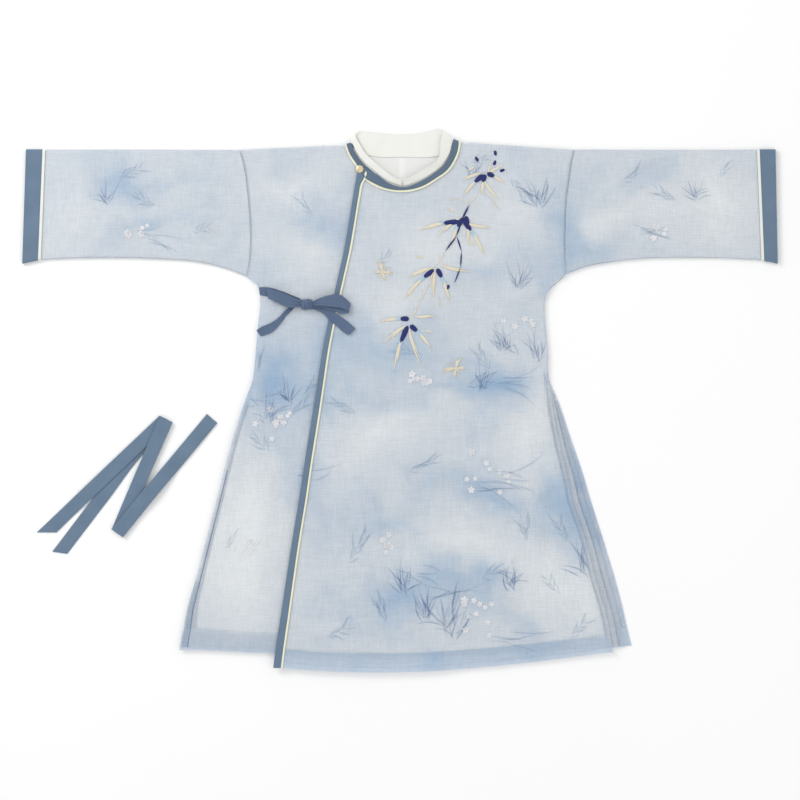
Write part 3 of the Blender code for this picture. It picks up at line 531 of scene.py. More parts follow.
def refine(rows, step, breaks=(), column_step=None):
    """Dense smooth grid through the coarse one."""
    grid = np.array(rows, float)
    for size, corners in ((step, breaks), (column_step or step, ())):
        knots = knots_of(grid)
        grid = spline(grid, knots, stations(knots, size), corners).swapaxes(0, 1)
    return grid


def grid_normals(grid):
    """Unit normals of a grid of points."""
    along = np.gradient(grid, axis=0)
    across = np.gradient(grid, axis=1)
    normals = np.cross(along, across)
    return normals / np.maximum(np.linalg.norm(normals, axis=-1, keepdims=True), 1e-9)


def lengths_of(grid):
    """Distance across and along the cloth for each grid point, in metres."""
    across = np.broadcast_to(knots_of(grid.swapaxes(0, 1))[None, :], grid.shape[:2])
    along = np.broadcast_to(knots_of(grid)[:, None], grid.shape[:2])
    return np.stack([across, along], axis=-1) * MM


def shell_faces(rows, columns, loop):
    """Quads of the two skins of a shell and of its rim."""
    index = np.arange(rows * columns).reshape(rows, columns)
    if loop:
        index = np.concatenate([index, index[:, :1]], axis=1)
    skin = np.stack([index[:-1, :-1], index[1:, :-1], index[1:, 1:], index[:-1, 1:]], -1).reshape(-1, 4)
    count = rows * columns
    faces = [skin, skin[:, ::-1] + count]
    rims = [index[0, ::-1], index[-1]]
    if not loop:
        rims += [index[:, 0], index[::-1, -1]]
    for rim in rims:
        faces.append(np.stack([rim[1:], rim[:-1], rim[:-1] + count, rim[1:] + count], -1))
    return np.concatenate(faces)


def make_object(name, points, faces, material, uvs=None, sharp=40):
    """Mesh object in metres from points in millimetres; sharp is the angle of a hard edge."""
    mesh = bpy.data.meshes.new(name)
    mesh.from_pydata((np.asarray(points) * MM).tolist(), [], faces)
    if uvs is not None:
        layer = mesh.uv_layers.new(name="cloth")
        corners = np.empty(len(mesh.loops), np.int64)
        mesh.loops.foreach_get("vertex_index", corners)
        layer.data.foreach_set("uv", np.asarray(uvs)[corners].astype(np.float32).ravel())
    mesh.shade_smooth()
    mesh.set_sharp_from_angle(angle=math.radians(sharp))
    mesh.materials.append(material)
    thing = bpy.data.objects.new(name, mesh)
    bpy.context.scene.collection.objects.link(thing)
    return thing


def turned_down(grid, normals, amount):
    """Round the border of a panel by lowering its outermost line a little."""
    grid = grid.copy()
    for border in ((0,), (-1,), (slice(None), 0), (slice(None), -1)):
        grid[border] -= normals[border] * amount
    return grid


def add_shell(name, upper, material, thick=THIN, loop=False, lower=None):
    """Closed thin shell below a dense grid of points, or between two grids."""
    if lower is None:
        normals = grid_normals(upper)
        if normals[..., 2].mean() < 0:
            normals = -normals
        lower = upper - normals * thick
        upper = turned_down(upper, normals, EDGE_DROP * min(thick, 1.0))
    faces = shell_faces(*upper.shape[:2], loop)
    points = np.concatenate([upper.reshape(-1, 3), lower.reshape(-1, 3)])
    a, b, c, d = points[faces].swapaxes(0, 1)
    volume = np.einsum("ij,ij->i", a, np.cross(b, c) + np.cross(c, d)).sum()
    if volume < 0:
        faces = faces[:, ::-1]
    uvs = lengths_of(upper).reshape(-1, 2)
    return make_object(name, points + SHIFT, faces.tolist(), material, np.concatenate([uvs, uvs]))


def flat_area(grid):
    """Area of a grid of points in square metres."""
    along = np.diff(grid, axis=0)[:, :-1]
    across = np.diff(grid, axis=1)[:-1]
    return float(np.linalg.norm(np.cross(along, across), axis=-1).sum()) * MM * MM


class Graph:
    """Short way to write the shader nodes of one material."""

    def __init__(self, name):
        self.material = bpy.data.materials.new(name)
        self.material.use_nodes = True
        self.tree = self.material.node_tree
        self.shader = self.tree.nodes["Principled BSDF"]

    def feed(self, node, inputs):
        """Link or set inputs by name; an underscore stands for a space."""
        for key, value in inputs.items():
            socket = node.inputs[key.replace("_", " ") if isinstance(key, str) else key]
            if isinstance(value, bpy.types.NodeSocket):
                self.tree.links.new(value, socket)
            else:
                socket.default_value = value

    def node(self, kind, settings=None, **inputs):
        """Make a shader node with its settings and inputs."""
        made = self.tree.nodes.new(f"ShaderNode{kind}")
        for key, value in (settings or {}).items():
            setattr(made, key, value)
        self.feed(made, inputs)
        return made

    def look(self, **inputs):
        """Feed the surface shader and give back the material."""
        self.feed(self.shader, inputs)
        return self.material

    def math(self, operation, first, second, clamp=False):
        """Result of one operation on two values."""
        made = self.node("Math", {"operation": operation, "use_clamp": clamp})
        self.feed(made, {0: first, 1: second})
        return made.outputs[0]

    def vector(self, operation, first, second):
        """Result of one operation on two vectors, or on a vector and a scale."""
        made = self.node("VectorMath", {"operation": operation})
        self.feed(made, {0: first, "Scale" if operation == "SCALE" else 1: second})
        return made.outputs[0]

    def blend(self, share, first, second):
        """Colour part of the way from the first to the second."""
        made = self.node("Mix", {"data_type": "RGBA"})
        self.feed(made, {0: share, 6: first, 7: second})
        return made.outputs[2]

    def place(self, scale=(1, 1, 1), source="Object"):
        """Scaled coordinates of the object or of the cloth."""
        coords = self.node("TexCoord").outputs[source]
        return self.node("Mapping", Vector=coords, Scale=scale).outputs[0]

    def noise(self, vector, scale, detail=3.0, roughness=0.5, output="Fac"):
        """Cloudy noise at a place."""
        made = self.node("TexNoise", Vector=vector, Scale=scale, Detail=detail, Roughness=roughness)
        return made.outputs[output]

    def range(self, value, low, high, out_low=0.0, out_high=1.0):
        """Value moved from one range to another."""
        limits = {"From_Min": low, "From_Max": high, "To_Min": out_low, "To_Max": out_high}
        return self.node("MapRange", Value=value, **limits).outputs[0]

    def patch(self, vector, x, y, half_x, half_y, turn):
        """Soft round patch, 1 in its middle and 0 outside it."""
        moved = self.vector("SUBTRACT", vector, (x * MM, y * MM, 0))
        turned = self.node("Mapping", Vector=moved, Rotation=(0, 0, -math.radians(turn))).outputs[0]
        flat = self.vector("MULTIPLY", turned, (1 / (half_x * MM), 1 / (half_y * MM), 0))
        return self.node("TexGradient", {"gradient_type": "QUADRATIC_SPHERE"}, Vector=flat).outputs["Fac"]

    def patches(self, vector, table):
        """Sum of the soft patches of a table."""
        total = None
        for x, y, half_x, half_y, turn, strength in table:
            soft = self.patch(vector, x, y, half_x * PATCH_REACH, half_y * PATCH_REACH, turn)
            soft = self.math("MULTIPLY", soft, strength * PATCH_GAIN)
            total = soft if total is None else self.math("ADD", total, soft)
        return total

    def wave(self, direction, pitch, distortion, source="UV", **more):
        """Bands that repeat at a pitch in metres."""
        made = self.node("TexWave", {"bands_direction": direction}, Vector=self.place(source=source), **more)
        self.feed(made, {"Scale": WAVE_SCALE / pitch, "Distortion": distortion})
        return made.outputs["Fac"]

    def bump(self, height, strength, distance):
        """Let a height tilt the surface."""
        made = self.node("Bump", Height=height, Strength=strength, Distance=distance)
        self.look(Normal=made.outputs[0])

    def weave(self, source, pitch, strength, distance):
        """Threads crossing at right angles, as a bump."""
        warp, weft = (self.wave(direction, pitch, 0.6, source, Detail=1.0) for direction in ("X", "Y"))
        self.bump(self.math("MULTIPLY", warp, weft), strength, distance)


def organza_material(name="organza_cloth", fold_at=None, hem_at=None, hem_shade_blue=0.0):
    """Sheer pale cloth printed with soft blue washes; folds are bluer, and the last stretch below the
    lining's hem is painted bluer and denser as painted shade.
    """
    g = Graph(name)
    place = g.place()
    drift = g.vector("SUBTRACT", g.noise(place, 7.0, output="Color"), (0.5, 0.5, 0.5))
    moved = g.vector("ADD", place, g.vector("SCALE", drift, 0.17))
    wash = g.patches(moved, WASHES)
    clear = g.patches(moved, CLEARINGS)
    mottle = g.range(g.noise(moved, 11.0, 5.0, 0.6), 0.38, 0.72, -0.18, 0.34)
    blue = g.math("ADD", wash, mottle)
    blue = g.math("SUBTRACT", blue, g.math("MULTIPLY", clear, 0.45), clamp=True)
    if fold_at or hem_at:
        across, along = g.node("SeparateXYZ", Vector=g.place(source="UV")).outputs[:2]
    if fold_at:
        folded = g.range(across, fold_at - 0.0005, fold_at + 0.0005, 0.12, -0.4)
        blue = g.math("ADD", blue, folded, clamp=True)
    # Painted shade: the stretch below the lining's hem is made bluer
    if hem_at:
        blue = g.math("ADD", blue, g.range(along, hem_at - 0.001, hem_at, 0.0, hem_shade_blue), clamp=True)
    colour = g.blend(blue, (0.67, 0.73, 0.81, 1), (0.31, 0.50, 0.72, 1))
    colour = g.blend(g.math("MULTIPLY", clear, 0.8, clamp=True), colour, (0.83, 0.87, 0.91, 1))
    slub_x, slub_y = (g.noise(g.place(scale), 1.0, 2.0) for scale in ((60, 900, 60), (900, 60, 60)))
    slub = g.range(g.math("ADD", slub_x, slub_y), 0.7, 1.3, 0.9, 1.08)
    alpha = g.range(blue, 0.0, 1.0, 0.36, 0.5)
    alpha = g.math("SUBTRACT", alpha, g.range(clear, 0.0, 1.8, 0.0, 0.06))
    # Painted shade: the same stretch is made more opaque
    if hem_at:
        alpha = g.math("ADD", alpha, g.range(along, hem_at - 0.001, hem_at, 0.0, 0.12))
    g.weave("Object", 0.0011, 0.12, 0.0002)
    shade = g.vector("SCALE", colour, slub)
    return g.look(Base_Color=shade, Alpha=alpha, Roughness=0.5, Sheen_Weight=0.15, Sheen_Roughness=0.4)


def tinted(colour, depth, blue):
    """Colour made darker by depth, with its blue share changed."""
    red, green, last = colour
    return (red * depth, green * depth, last * depth * blue, 1)


def lining_material(name="lining_cloth", depth=1.0, blue=1.0):
    """Fine white cotton."""
    g = Graph(name)
    dark, light = (tinted(colour, depth, blue) for colour in ((0.83, 0.84, 0.82), (0.88, 0.885, 0.865)))
    g.weave("Object", 0.0008, 0.1, 0.0001)
    return g.look(Base_Color=g.blend(g.noise(g.place(), 14.0, 4.0), dark, light), Roughness=0.85)


def cotton_material(name="slate_cloth", depth=1.0, blue=1.0):
    """Slate blue cotton with a faint uneven dye."""
    g = Graph(name)
    dark, light = (tinted(colour, depth, blue) for colour in ((0.125, 0.195, 0.285), (0.175, 0.26, 0.375)))
    g.weave("UV", 0.0007, 0.25, 0.00012)
    dye = g.blend(g.noise(g.place(), 40.0, 4.0), dark, light)
    return g.look(Base_Color=dye, Roughness=0.8, Sheen_Weight=0.2)


def satin_material(name="cream_satin_cloth", dark=(0.78, 0.78, 0.54, 1), light=(0.86, 0.85, 0.66, 1)):
    """Cream satin of the piping, with fine twisted ribs."""
    g = Graph(name)
    g.weave("UV", 0.0009, 0.3, 0.0002)
    return g.look(Base_Color=g.blend(g.noise(g.place(), 60.0), dark, light), Roughness=0.4)


def thread_material(name, dark, light, metallic, roughness):
    """Silk thread laid side by side in satin stitch."""
    g = Graph(name)
    stitch = g.wave("DIAGONAL", STITCH_PITCH, 1.0)
    g.bump(stitch, 0.5, 0.0003)
    colour = g.blend(stitch, (*dark, 1), (*light, 1))
    return g.look(Base_Color=colour, Roughness=roughness, Metallic=metallic, Anisotropic=0.5)


def ink_and_shade_material(name, dark, light, alpha):
    """Printed mark, also used for painted shade along folded edges, that lets the cloth show through."""
    g = Graph(name)
    soft = g.noise(g.place(), 90.0)
    colour = g.blend(soft, (*dark, 1), (*light, 1))
    return g.look(Base_Color=colour, Alpha=g.range(soft, 0.3, 0.7, alpha * 0.6, alpha), Roughness=0.8)


def gold_material():
    """Brushed gilt metal."""
    g = Graph("gilt_metal")
    colour = g.blend(g.noise(g.place(), 500.0), (0.66, 0.52, 0.30, 1), (0.86, 0.76, 0.54, 1))
    return g.look(Base_Color=colour, Metallic=0.75, Roughness=0.38)


def floor_material():
    """Plain pale table."""
    g = Graph("pale_table")
    colour = g.blend(g.noise(g.place(), 3.0, 2.0), (0.95, 0.95, 0.95, 1), (0.97, 0.97, 0.97, 1))
    return g.look(Base_Color=colour, Roughness=0.9)


# From the tables to the frame, as the button shows
low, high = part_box("button")
SHIFT = np.array([
    (low.x + high.x) / 2 / MM - BUTTON_PLACE[0], (low.y + high.y) / 2 / MM - BUTTON_PLACE[1], 0.0,
])
ORGANZA = organza_material()
LINING = lining_material()
# Painted shade: the back lining is a darker copy of the white lining, for the shade inside the robe
SHADED_INNER_LINING = lining_material("lining_inside", 0.92)
SEAM_LINING = lining_material("lining_seam", 0.97)
COLLAR_LINING = lining_material("lining_collar", 0.95, 0.965)
PLEAT = organza_material("organza_pleat", 0.0165)
COTTON = cotton_material("slate_cloth", 0.84)
# Painted shade: the tie is a darker, bluer copy of the slate cotton, for the shade among the bow's folds
TIE_SHADED_COTTON = cotton_material("slate_tie", 0.58, 1.16)
# Painted shade: the neck bands are a darker copy of the slate cotton, for the shade beside the raised collar
NECK_SHADED_COTTON = cotton_material("slate_neck", 0.64)
SATIN = satin_material()
PALE_SATIN = satin_material("pale_satin_cloth", (0.74, 0.77, 0.70, 1), (0.82, 0.84, 0.78, 1))
GILT = gold_material()
GOLD_THREAD = thread_material("gold_thread", (0.62, 0.52, 0.34), (0.90, 0.86, 0.70), 0.1, 0.45)
SKY_THREAD = thread_material("sky_thread", (0.28, 0.48, 0.62), (0.50, 0.68, 0.76), 0.0, 0.5)
NAVY_THREAD = thread_material("navy_thread", (0.003, 0.007, 0.09), (0.010, 0.022, 0.17), 0.0, 0.65)
WHITE_THREAD = thread_material("pale_thread", (0.62, 0.66, 0.70), (0.78, 0.81, 0.84), 0.0, 0.6)
SLATE_THREAD = thread_material("slate_thread", (0.10, 0.16, 0.25), (0.16, 0.24, 0.35), 0.0, 0.7)
SEAM_THREAD = thread_material("outer_seam_thread", (0.30, 0.38, 0.50), (0.42, 0.50, 0.60), 0.0, 0.6)
# Blue print ink, also used for the washes of painted shade along the slit edges
BLUE_INK_AND_SHADE = ink_and_shade_material("blue_print_and_shade", (0.17, 0.29, 0.46), (0.30, 0.46, 0.62), 0.25)
DEEP_INK = ink_and_shade_material("deep_print", (0.14, 0.22, 0.42), (0.25, 0.37, 0.58), 0.36)
# Painted shade: dark lines along the folded edge of the right pleat
FOLD_SHADE_PAINT = ink_and_shade_material("fold_shade", (0.08, 0.15, 0.30), (0.16, 0.27, 0.45), 0.75)
PALE_INK = ink_and_shade_material("pale_print", (0.84, 0.84, 0.87), (0.95, 0.93, 0.94), 0.8)

pieces = {}
surfaces = {}


def keep(node, thing):
    """Remember the piece that stands for a node."""
    pieces[node] = thing
    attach(thing, "root")
    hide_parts(node)


def sheet(node, thing, slot, flat, rests_on, held="laid", **more):
    """Keep a piece of cloth; its slot, flat size, support, hold and other values are not used."""
    keep(node, thing)


def stated_area(grid, flat):
    """Area of the cut, between the bounds that its width and length set."""
    whole = flat[0] * flat[1]
    return min(max(flat_area(grid), LEAST_AREA_SHARE * whole), whole)


def surface_of(node):
    """Search tree of the piece that stands for a node, to lay stitches and print on it."""
    if node not in surfaces:
        mesh = pieces[node].data
        points = [vertex.co for vertex in mesh.vertices]
        surfaces[node] = BVHTree.FromPolygons(points, [polygon.vertices for polygon in mesh.polygons])
    return surfaces[node]


def cloth(node, grid, material, slot, flat, rests_on, held="laid", thick=THIN):
    """Shell that stands for a cloth node, below its upper surface."""
    thing = add_shell(f"{node}_cloth", relief(grid), material, thick)
    sheet(node, thing, slot, flat, rests_on, held, area=stated_area(grid, flat))


def folded_cloth(node, middle, away, material, slot, flat, rests_on):
    """Folded cloth whose two skins stand off a middle surface."""
    thing = add_shell(f"{node}_cloth", relief(middle + away), material, lower=relief(middle - away))
    sheet(node, thing, slot, flat, rests_on, "folded")


def hem_shaded(name, grid, depth, blue):
    """Organza whose last stretch, below the lining's hem, is painted bluer and denser as painted shade."""
    return organza_material(f"organza_{name}", None, float(lengths_of(grid)[-1, 0, 1]) - depth, blue)


def edge_points(edge_x, edge_y, band_x, band_y):
    """Plan points across a band: its edge, its seam with the piping and the piping's outer side."""
    edge, band = Vector((edge_x, edge_y)), Vector((band_x, band_y))
    split = band - (band - edge).normalized() * PIPING
    return [(*edge, 0.0), (*split, 0.0), (*band, 0.0)]


def over_front_rows():
    """Plan points of the over-front with the lift of its last columns as the third value."""
    rows = []
    for (*edge, sag), side in zip(OVER_EDGE, LEFT_SEAM + LEFT_SIDE):
        row = edge_points(*edge)
        open_slit = side[1] < SLIT_TOP_Y
        inner = (side[0] - (SLIT_INSET if open_slit else SEAM_INSET), side[1])
        lift = PITCH if open_slit else 0.0
        start = row[-1]
        for share in OVER_SHARES:
            x, y = mix(start, inner, share)
            row.append((x, y - sag * math.sin(math.pi * share ** 0.85), lift if share == 1.0 else 0.0))
        row.append((*side, lift))
        rows.append(row)
    return rows


def lining_rows(rows, first):
    """Rows of a lining: from the first column on, short of the side and the hem."""
    inner = [[(x, y, 0.0) for x, y, _ in row[first:-1]] for row in rows[:-1]]
    inner[0] = [(x, y - SHOULDER_INSET, z) for x, y, z in inner[0]]
    return inner


def band_rows(rows):
    """Cross rows of a band, from its edge to just short of the piping."""
    return [[row[0], mix(row[0], row[1], 0.5), mix(row[0], row[1], BAND_SHARE)] for row in rows]


def at_height(grid, z):
    """Put plan points at one height."""
    grid = grid.copy()
    grid[..., 2] = z
    return grid


def raised_over(grid, above):
    """Put plan points of the over-front at their height."""
    grid = grid.copy()
    grid[..., 2] = top_of(3) + over_lift(grid[..., 0]) + np.clip(grid[..., 2], 0, PITCH) + above
    return grid


def piping_shell(node, rows, length, side):
    """Narrow satin edge with a rounded top."""
    plan = refine([row[1:3] for row in rows], 3.0, (), 0.4)
    grid = raised_over(plan, PIPING_RISE) if side == "over" else at_height(plan, top_of(3) + PIPING_RISE)
    across = np.linspace(-1, 1, grid.shape[1])
    grid[..., 2] += PIPING_ROUND * np.sqrt(np.maximum(0, 1 - across ** 2))
    cloth(node, grid, SATIN, "cream_satin", (0.01, length), [f"front_{side}_cloth"], "folded", 0.4)


def build_over_front():
    """Outer cloth, lining, bands and piping of the over-front."""
    rows = over_front_rows()
    grid = raised_over(refine(rows, 5.0, (OVER_CORNER,)), 0)
    material = hem_shaded("over", grid, 0.0245, 0.34)
    cloth("front_over", grid, material, "organza", (0.50, 0.73), ["front_over_lining_cloth"])
    grid = refine(lining_rows(rows, 1), 6.0, (OVER_CORNER,))
    grid[..., 2] = top_of(2) + over_lift(grid[..., 0])
    below = ["front_under_cloth", "back_lining_cloth"]
    cloth("front_over_lining", grid, LINING, "lining", (0.46, 0.70), below)
    corner = [mix(a, b, CORNER_SHARE) for a, b in zip(rows[OVER_CORNER], rows[OVER_CORNER - 1])]
    neck, placket = rows[:OVER_CORNER] + [corner], rows[OVER_CORNER:]
    plan = [("neck", neck, 0.21, NECK_SHADED_COTTON), ("placket", placket, 0.70, COTTON)]
    for name, part, length, material in plan:
        grid = raised_over(refine(band_rows(part), 3.0), BAND_RISE)
        node, flat, below = f"{name}_band_over", (0.01, length), ["front_over_cloth"]
        cloth(node, grid, material, "slate_cotton", flat, below, thick=BAND_WALL)
        piping_shell(f"{name}_piping_over", part, length, "over")


def under_front_rows():
    """Plan points of the under-front from its neck edge out to the side."""
    rows = []
    insets = [SEAM_INSET] * len(RIGHT_SEAM) + list(RIGHT_INSETS)
    for edge, side, inset in zip(UNDER_EDGE, RIGHT_SEAM + RIGHT_SIDE, insets):
        row = edge_points(*edge)
        start, inner = row[-1], (side[0] + inset, side[1])
        row.extend((*mix(start, inner, share), 0.0) for share in UNDER_SHARES)
        row.append((*side, 0.0))
        rows.append(row)
    return rows


def build_under_front():
    """Outer cloth, lining, neck band and piping of the under-front."""
    rows = under_front_rows()
    grid = at_height(refine(rows, 5.0), top_of(3))
    material = hem_shaded("under", grid, 0.026, 0.16)
    cloth("front_under", grid, material, "organza", (0.33, 0.72), ["front_under_lining_cloth"])
    grid = at_height(refine(lining_rows(rows, 0), 7.0), top_of(2))
    cloth("front_under_lining", grid, LINING, "lining", (0.31, 0.70), ["back_lining_cloth"])
    neck = rows[:UNDER_NECK_ROWS]
    grid = at_height(refine(band_rows(neck), 2.0), top_of(3) + BAND_RISE)
    flat = (0.01, 0.06)
    cloth("neck_band_under", grid, NECK_SHADED_COTTON, "slate_cotton", flat, ["front_under_cloth"], thick=BAND_WALL)
    piping_shell("neck_piping_under", neck[:-1], 0.046, "under")


def back_rows(neck, insets, hem_rise):
    """Plan of a back panel: shoulder row with its neck edge, then rows down to the hem."""
    grid = []
    neck_x, neck_y = (list(values) for values in zip(*neck))
    side_x, side_y = (list(values) for values in zip(*reversed(LEFT_SIDE)))
    for index, (start, end) in enumerate(zip(RIGHT_SEAM + RIGHT_SIDE, LEFT_SEAM + LEFT_BACK_SIDE)):
        below = index - len(RIGHT_SEAM)
        x0, x1 = start[0], end[0]
        if insets:
            x0 += RIGHT_INSETS[below] if below >= 0 else SEAM_INSET
            if below >= 0:
                x1 = float(np.interp(end[1], side_y, side_x))
            x1 -= SLIT_LINING_INSET if end[1] < SLIT_TOP_Y + 10 else SEAM_INSET
        places = [x0 + (neck_x[0] - x0) * share for share in (0, 0.33, 0.66)] + neck_x
        places += [neck_x[-1] + (x1 - neck_x[-1]) * share for share in (0.34, 0.67, 1)]
        row = []
        for x in places:
            share = (x - x0) / (x1 - x0)
            y = mix(start, end, share)[1]
            if index < 2 and neck_x[0] <= x <= neck_x[-1]:
                y = float(np.interp(x, neck_x, neck_y)) - index * NECK_ROW_STEP
            drop = BACK_SAG * max(below, 0) / len(RIGHT_SIDE) * math.sin(math.pi * share)
            row.append((x, y - drop, 0.0))
        grid.append(row)
    grid[-1] = [(x, y + hem_rise, z) for x, y, z in grid[-1]]
    return grid


def build_back():
    """Outer back, its lining and the band round the back of the neck."""
    grid = at_height(refine(back_rows(BACK_NECK, False, 3), 6.0), top_of(0))
    cloth("back_outer", grid, hem_shaded("back", grid, 0.026, 0.2), "organza", (0.64, 0.71), ["pale_table"])
    grid = at_height(refine(back_rows(LINING_NECK, True, 24), 7.0), top_of(1))
    cloth("back_lining", grid, SHADED_INNER_LINING, "lining", (0.62, 0.69), ["back_outer_cloth"])
    band = [
        [(x, y + GAP, 0.0) for x, y in BACK_NECK],
        [(x * 0.95, y + depth, 0.0) for (x, y), depth in zip(BACK_NECK, BACK_BAND_DEPTHS)],
    ]
    grid = at_height(refine(band, 2.0), top_of(0))
    flat = (0.01, 0.165)
    cloth("neck_band_back", grid, COTTON, "slate_cotton", flat, ["pale_table"], thick=BAND_WALL)


def flat_ring(top, bottom, columns, low, high, inset):
    """Loop of one section of a tube pressed flat between two heights."""
    radius = (high - low) / 2 - inset
    middle = (low + high) / 2
    start, end = np.array(top, float), np.array(bottom, float)
    run = (end - start) / np.linalg.norm(end - start)
    reach = run * (inset + radius)
    upper = [(*(start + reach + (end - start - 2 * reach) * share), middle + radius) for share in columns]
    lower = [(x, y, middle - radius) for x, y, _ in reversed(upper)]
    turn_end, turn_start = [], []
    for angle in np.radians(RING_ANGLES):
        out, up = run * math.cos(angle) * radius, math.sin(angle) * radius
        turn_end.append((*(end - reach + out), middle + up))
        turn_start.append((*(start + reach - out), middle - up))
    return upper + turn_end + lower + turn_start


def seam_bulge(seam, share):
    """How far a seam stands from the straight line between its ends."""
    (x0, y0), (x1, y1) = seam[0], seam[-1]
    y = y0 + (y1 - y0) * share
    heights = [point[1] for point in reversed(seam)]
    return np.interp(y, heights, [point[0] for point in reversed(seam)]) - (x0 + (x1 - x0) * share)


def tube_grid(sections, seam, low, high, inset, step, lean):
    """Loops of a tube pressed flat; the first few lean with the armhole seam."""
    table = np.array(sections, float)
    knots = knots_of(table[:, :2])
    places = stations(knots, step)
    columns = np.linspace(0, 1, TUBE_COLUMNS)
    loops = []
    for (x0, y0, x1, y1), place in zip(spline(table, knots, places), places):
        loop = np.array(flat_ring((x0, y0), (x1, y1), columns, low, high, inset))
        share = np.clip((seam[0][1] - loop[:, 1]) / (seam[0][1] - seam[-1][1]), 0, 1)
        loop[:, 0] += seam_bulge(seam, share) * np.interp(place, knots, lean[:len(knots)])
        loops.append(loop)
    return np.array(loops)


def shifted(section, amount):
    """Section of a tube moved across the robe."""
    x0, y0, x1, y1 = section
    return (x0 + amount, y0, x1 + amount, y1)


def build_sleeve(side, seam, sections, cuff):
    """Sleeve, its lining, the cuff and the piping between them."""
    shift = GAP if side == "right" else -GAP
    sleeve = [shifted((*seam[0], *seam[-1]), -shift)] + sections
    inner = [(x0, y0 - PITCH, x1, y1 + PITCH) for x0, y0, x1, y1 in sleeve]
    piping = [shifted(sections[-1], -shift), shifted(cuff[0], shift)]
    top = level(4) - GAP
    calm = (0.0, 0.0, 0.0)
    plan = [
        ("sleeve", sleeve, 0, top, THIN, ORGANZA, "organza", (0.33, 0.285), SLEEVE_LEAN, 5.0),
        ("sleeve_lining", inner, PITCH, top - PITCH, 0.4, LINING, "lining", (0.33, 0.283), SLEEVE_LEAN, 7.0),
        ("cuff", cuff, 0, top + 0.4, 1.0, COTTON, "slate_cotton", (0.315, 0.0225), calm, 2.0),
        ("cuff_piping", piping, 0, top + 0.6, 0.8, PALE_SATIN, "cream_satin", (0.315, 0.01), calm, 0.6),
    ]
    for name, table, low, high, thick, material, slot, flat, lean, step in plan:
        skins = [relief(tube_grid(table, seam, low, high, inset, step, lean)) for inset in (0.0, thick)]
        for skin in skins:
            skin[..., 2] = np.maximum(skin[..., 2], TABLE_GAP)
        node = f"{name}_{side}"
        thing = add_shell(f"{node}_cloth", skins[0], material, loop=True, lower=skins[1])
        below = [f"sleeve_{side}_cloth" if name == "sleeve_lining" else "pale_table"]
        held = "folded" if name == "cuff_piping" else "laid"
        sheet(node, thing, slot, flat, below, held, area=stated_area(skins[0], flat))


def build_collar():
    """White stand collar: one strip from front centre round the back to front centre."""
    rows = [[mix(row[:3], row[3:], share) for share in (0, 0.5, 1)] for row in COLLAR]
    grid = refine(rows, 2.5, (), 2.0)
    across = np.linspace(0, 1, grid.shape[1])[None, :]
    along = lengths_of(grid)[..., 1] / MM
    grid[..., 2] += (0.18 * np.sin(along / 6) + 0.12 * np.sin(along / 3.3)) * np.sin(np.pi * across)
    away = grid_normals(grid) * COLLAR_WALL / 2
    thing = add_shell("collar_cloth", grid + away, COLLAR_LINING, lower=grid - away)
    sheet("collar", thing, "lining", (0.029, 0.38), ["back_lining_cloth"], "folded", area=0.0058)


def turn(x, z, direction, steps=8):
    """Middle points of a fold that turns upwards through half a circle."""
    angles = [math.pi * (step / steps - 0.5) for step in range(steps + 1)]
    radius = PITCH / 2
    return [(x + direction * math.cos(angle) * radius, z + math.sin(angle) * radius) for angle in angles]


def section_shell(node, sections, flat, material):
    """Folded cloth from sections across it, each a height down the robe and a line of x and z."""
    table = np.array([[(x, y, z) for x, z in line] for y, line in sections], float)
    knots = knots_of(table)
    grid = spline(table, knots, stations(knots, 6.0))
    run = np.gradient(grid, axis=1)
    run[..., 1] = 0
    run /= np.linalg.norm(run, axis=-1, keepdims=True)
    normal = np.stack([-run[..., 2], np.zeros(run.shape[:2]), run[..., 0]], axis=-1)
    folded_cloth(node, grid, normal * THIN / 2, material, "organza", flat, ["back_outer_cloth"])


def build_pleats():
    """Side cloth folded in three layers at the left slit and two at the right."""
    low, mid, high = (top_of(number) - WALL / 2 for number in (1, 2, 3))
    sections = []
    for y, front_x, outer_x in LEFT_PLEAT:
        step = (outer_x - front_x) / 3
        inner_x = front_x - PLEAT_INNER + PITCH
        line = [(front_x + 2 * step, low), *turn(inner_x, (low + mid) / 2, -1)]
        line += [*turn(front_x + step - PITCH / 2, (mid + high) / 2, 1), (inner_x - PITCH / 2, high)]
        sections.append((y, line))
    section_shell("side_pleat_left", sections, (0.042, 0.34), PLEAT)
    sections = []
    for y, outer_x, depth in RIGHT_PLEAT:
        start = outer_x + PLEAT_START
        line = [(start, low), *turn(outer_x + depth - PITCH, (low + mid) / 2, 1), (start, mid)]
        sections.append((y, line))
    section_shell("side_pleat_right", sections, (0.0145, 0.336), ORGANZA)


def ribbon_grid(table, step, columns):
    """Dense middle surface of a ribbon from rows of two edge points and a height."""
    rows = np.array([[(x0, y0, z), (x1, y1, z)] for x0, y0, x1, y1, z in table], float)
    knots = knots_of(rows)
    edges = spline(rows, knots, stations(knots, step))
    share = np.linspace(0, 1, columns)[None, :, None]
    return edges[:, :1] * (1 - share) + edges[:, 1:] * share


def gathered(grid, ends):
    """Fine pleats that fade away from the knot; ends has 1 for each end of a ribbon in the knot."""
    along = lengths_of(grid)[..., 1] / MM
    at_start, at_end = ends
    near = at_start * np.exp(-along / GATHER_REACH)
    near += at_end * np.exp(-(along[-1, 0] - along) / GATHER_REACH)
    across = np.linspace(0, 1, grid.shape[1])[None, :]
    waves = np.sin(across * 2 * np.pi * 2.6 + 0.04 * along) + 0.4 * np.sin(across * 2 * np.pi * 5 + 1)
    sag = 0.3 * np.sin(np.pi * across) * np.sin(along / 11)
    grid = grid.copy()
    grid[..., 2] += waves * near * GATHER_HEIGHT + sag
    return grid


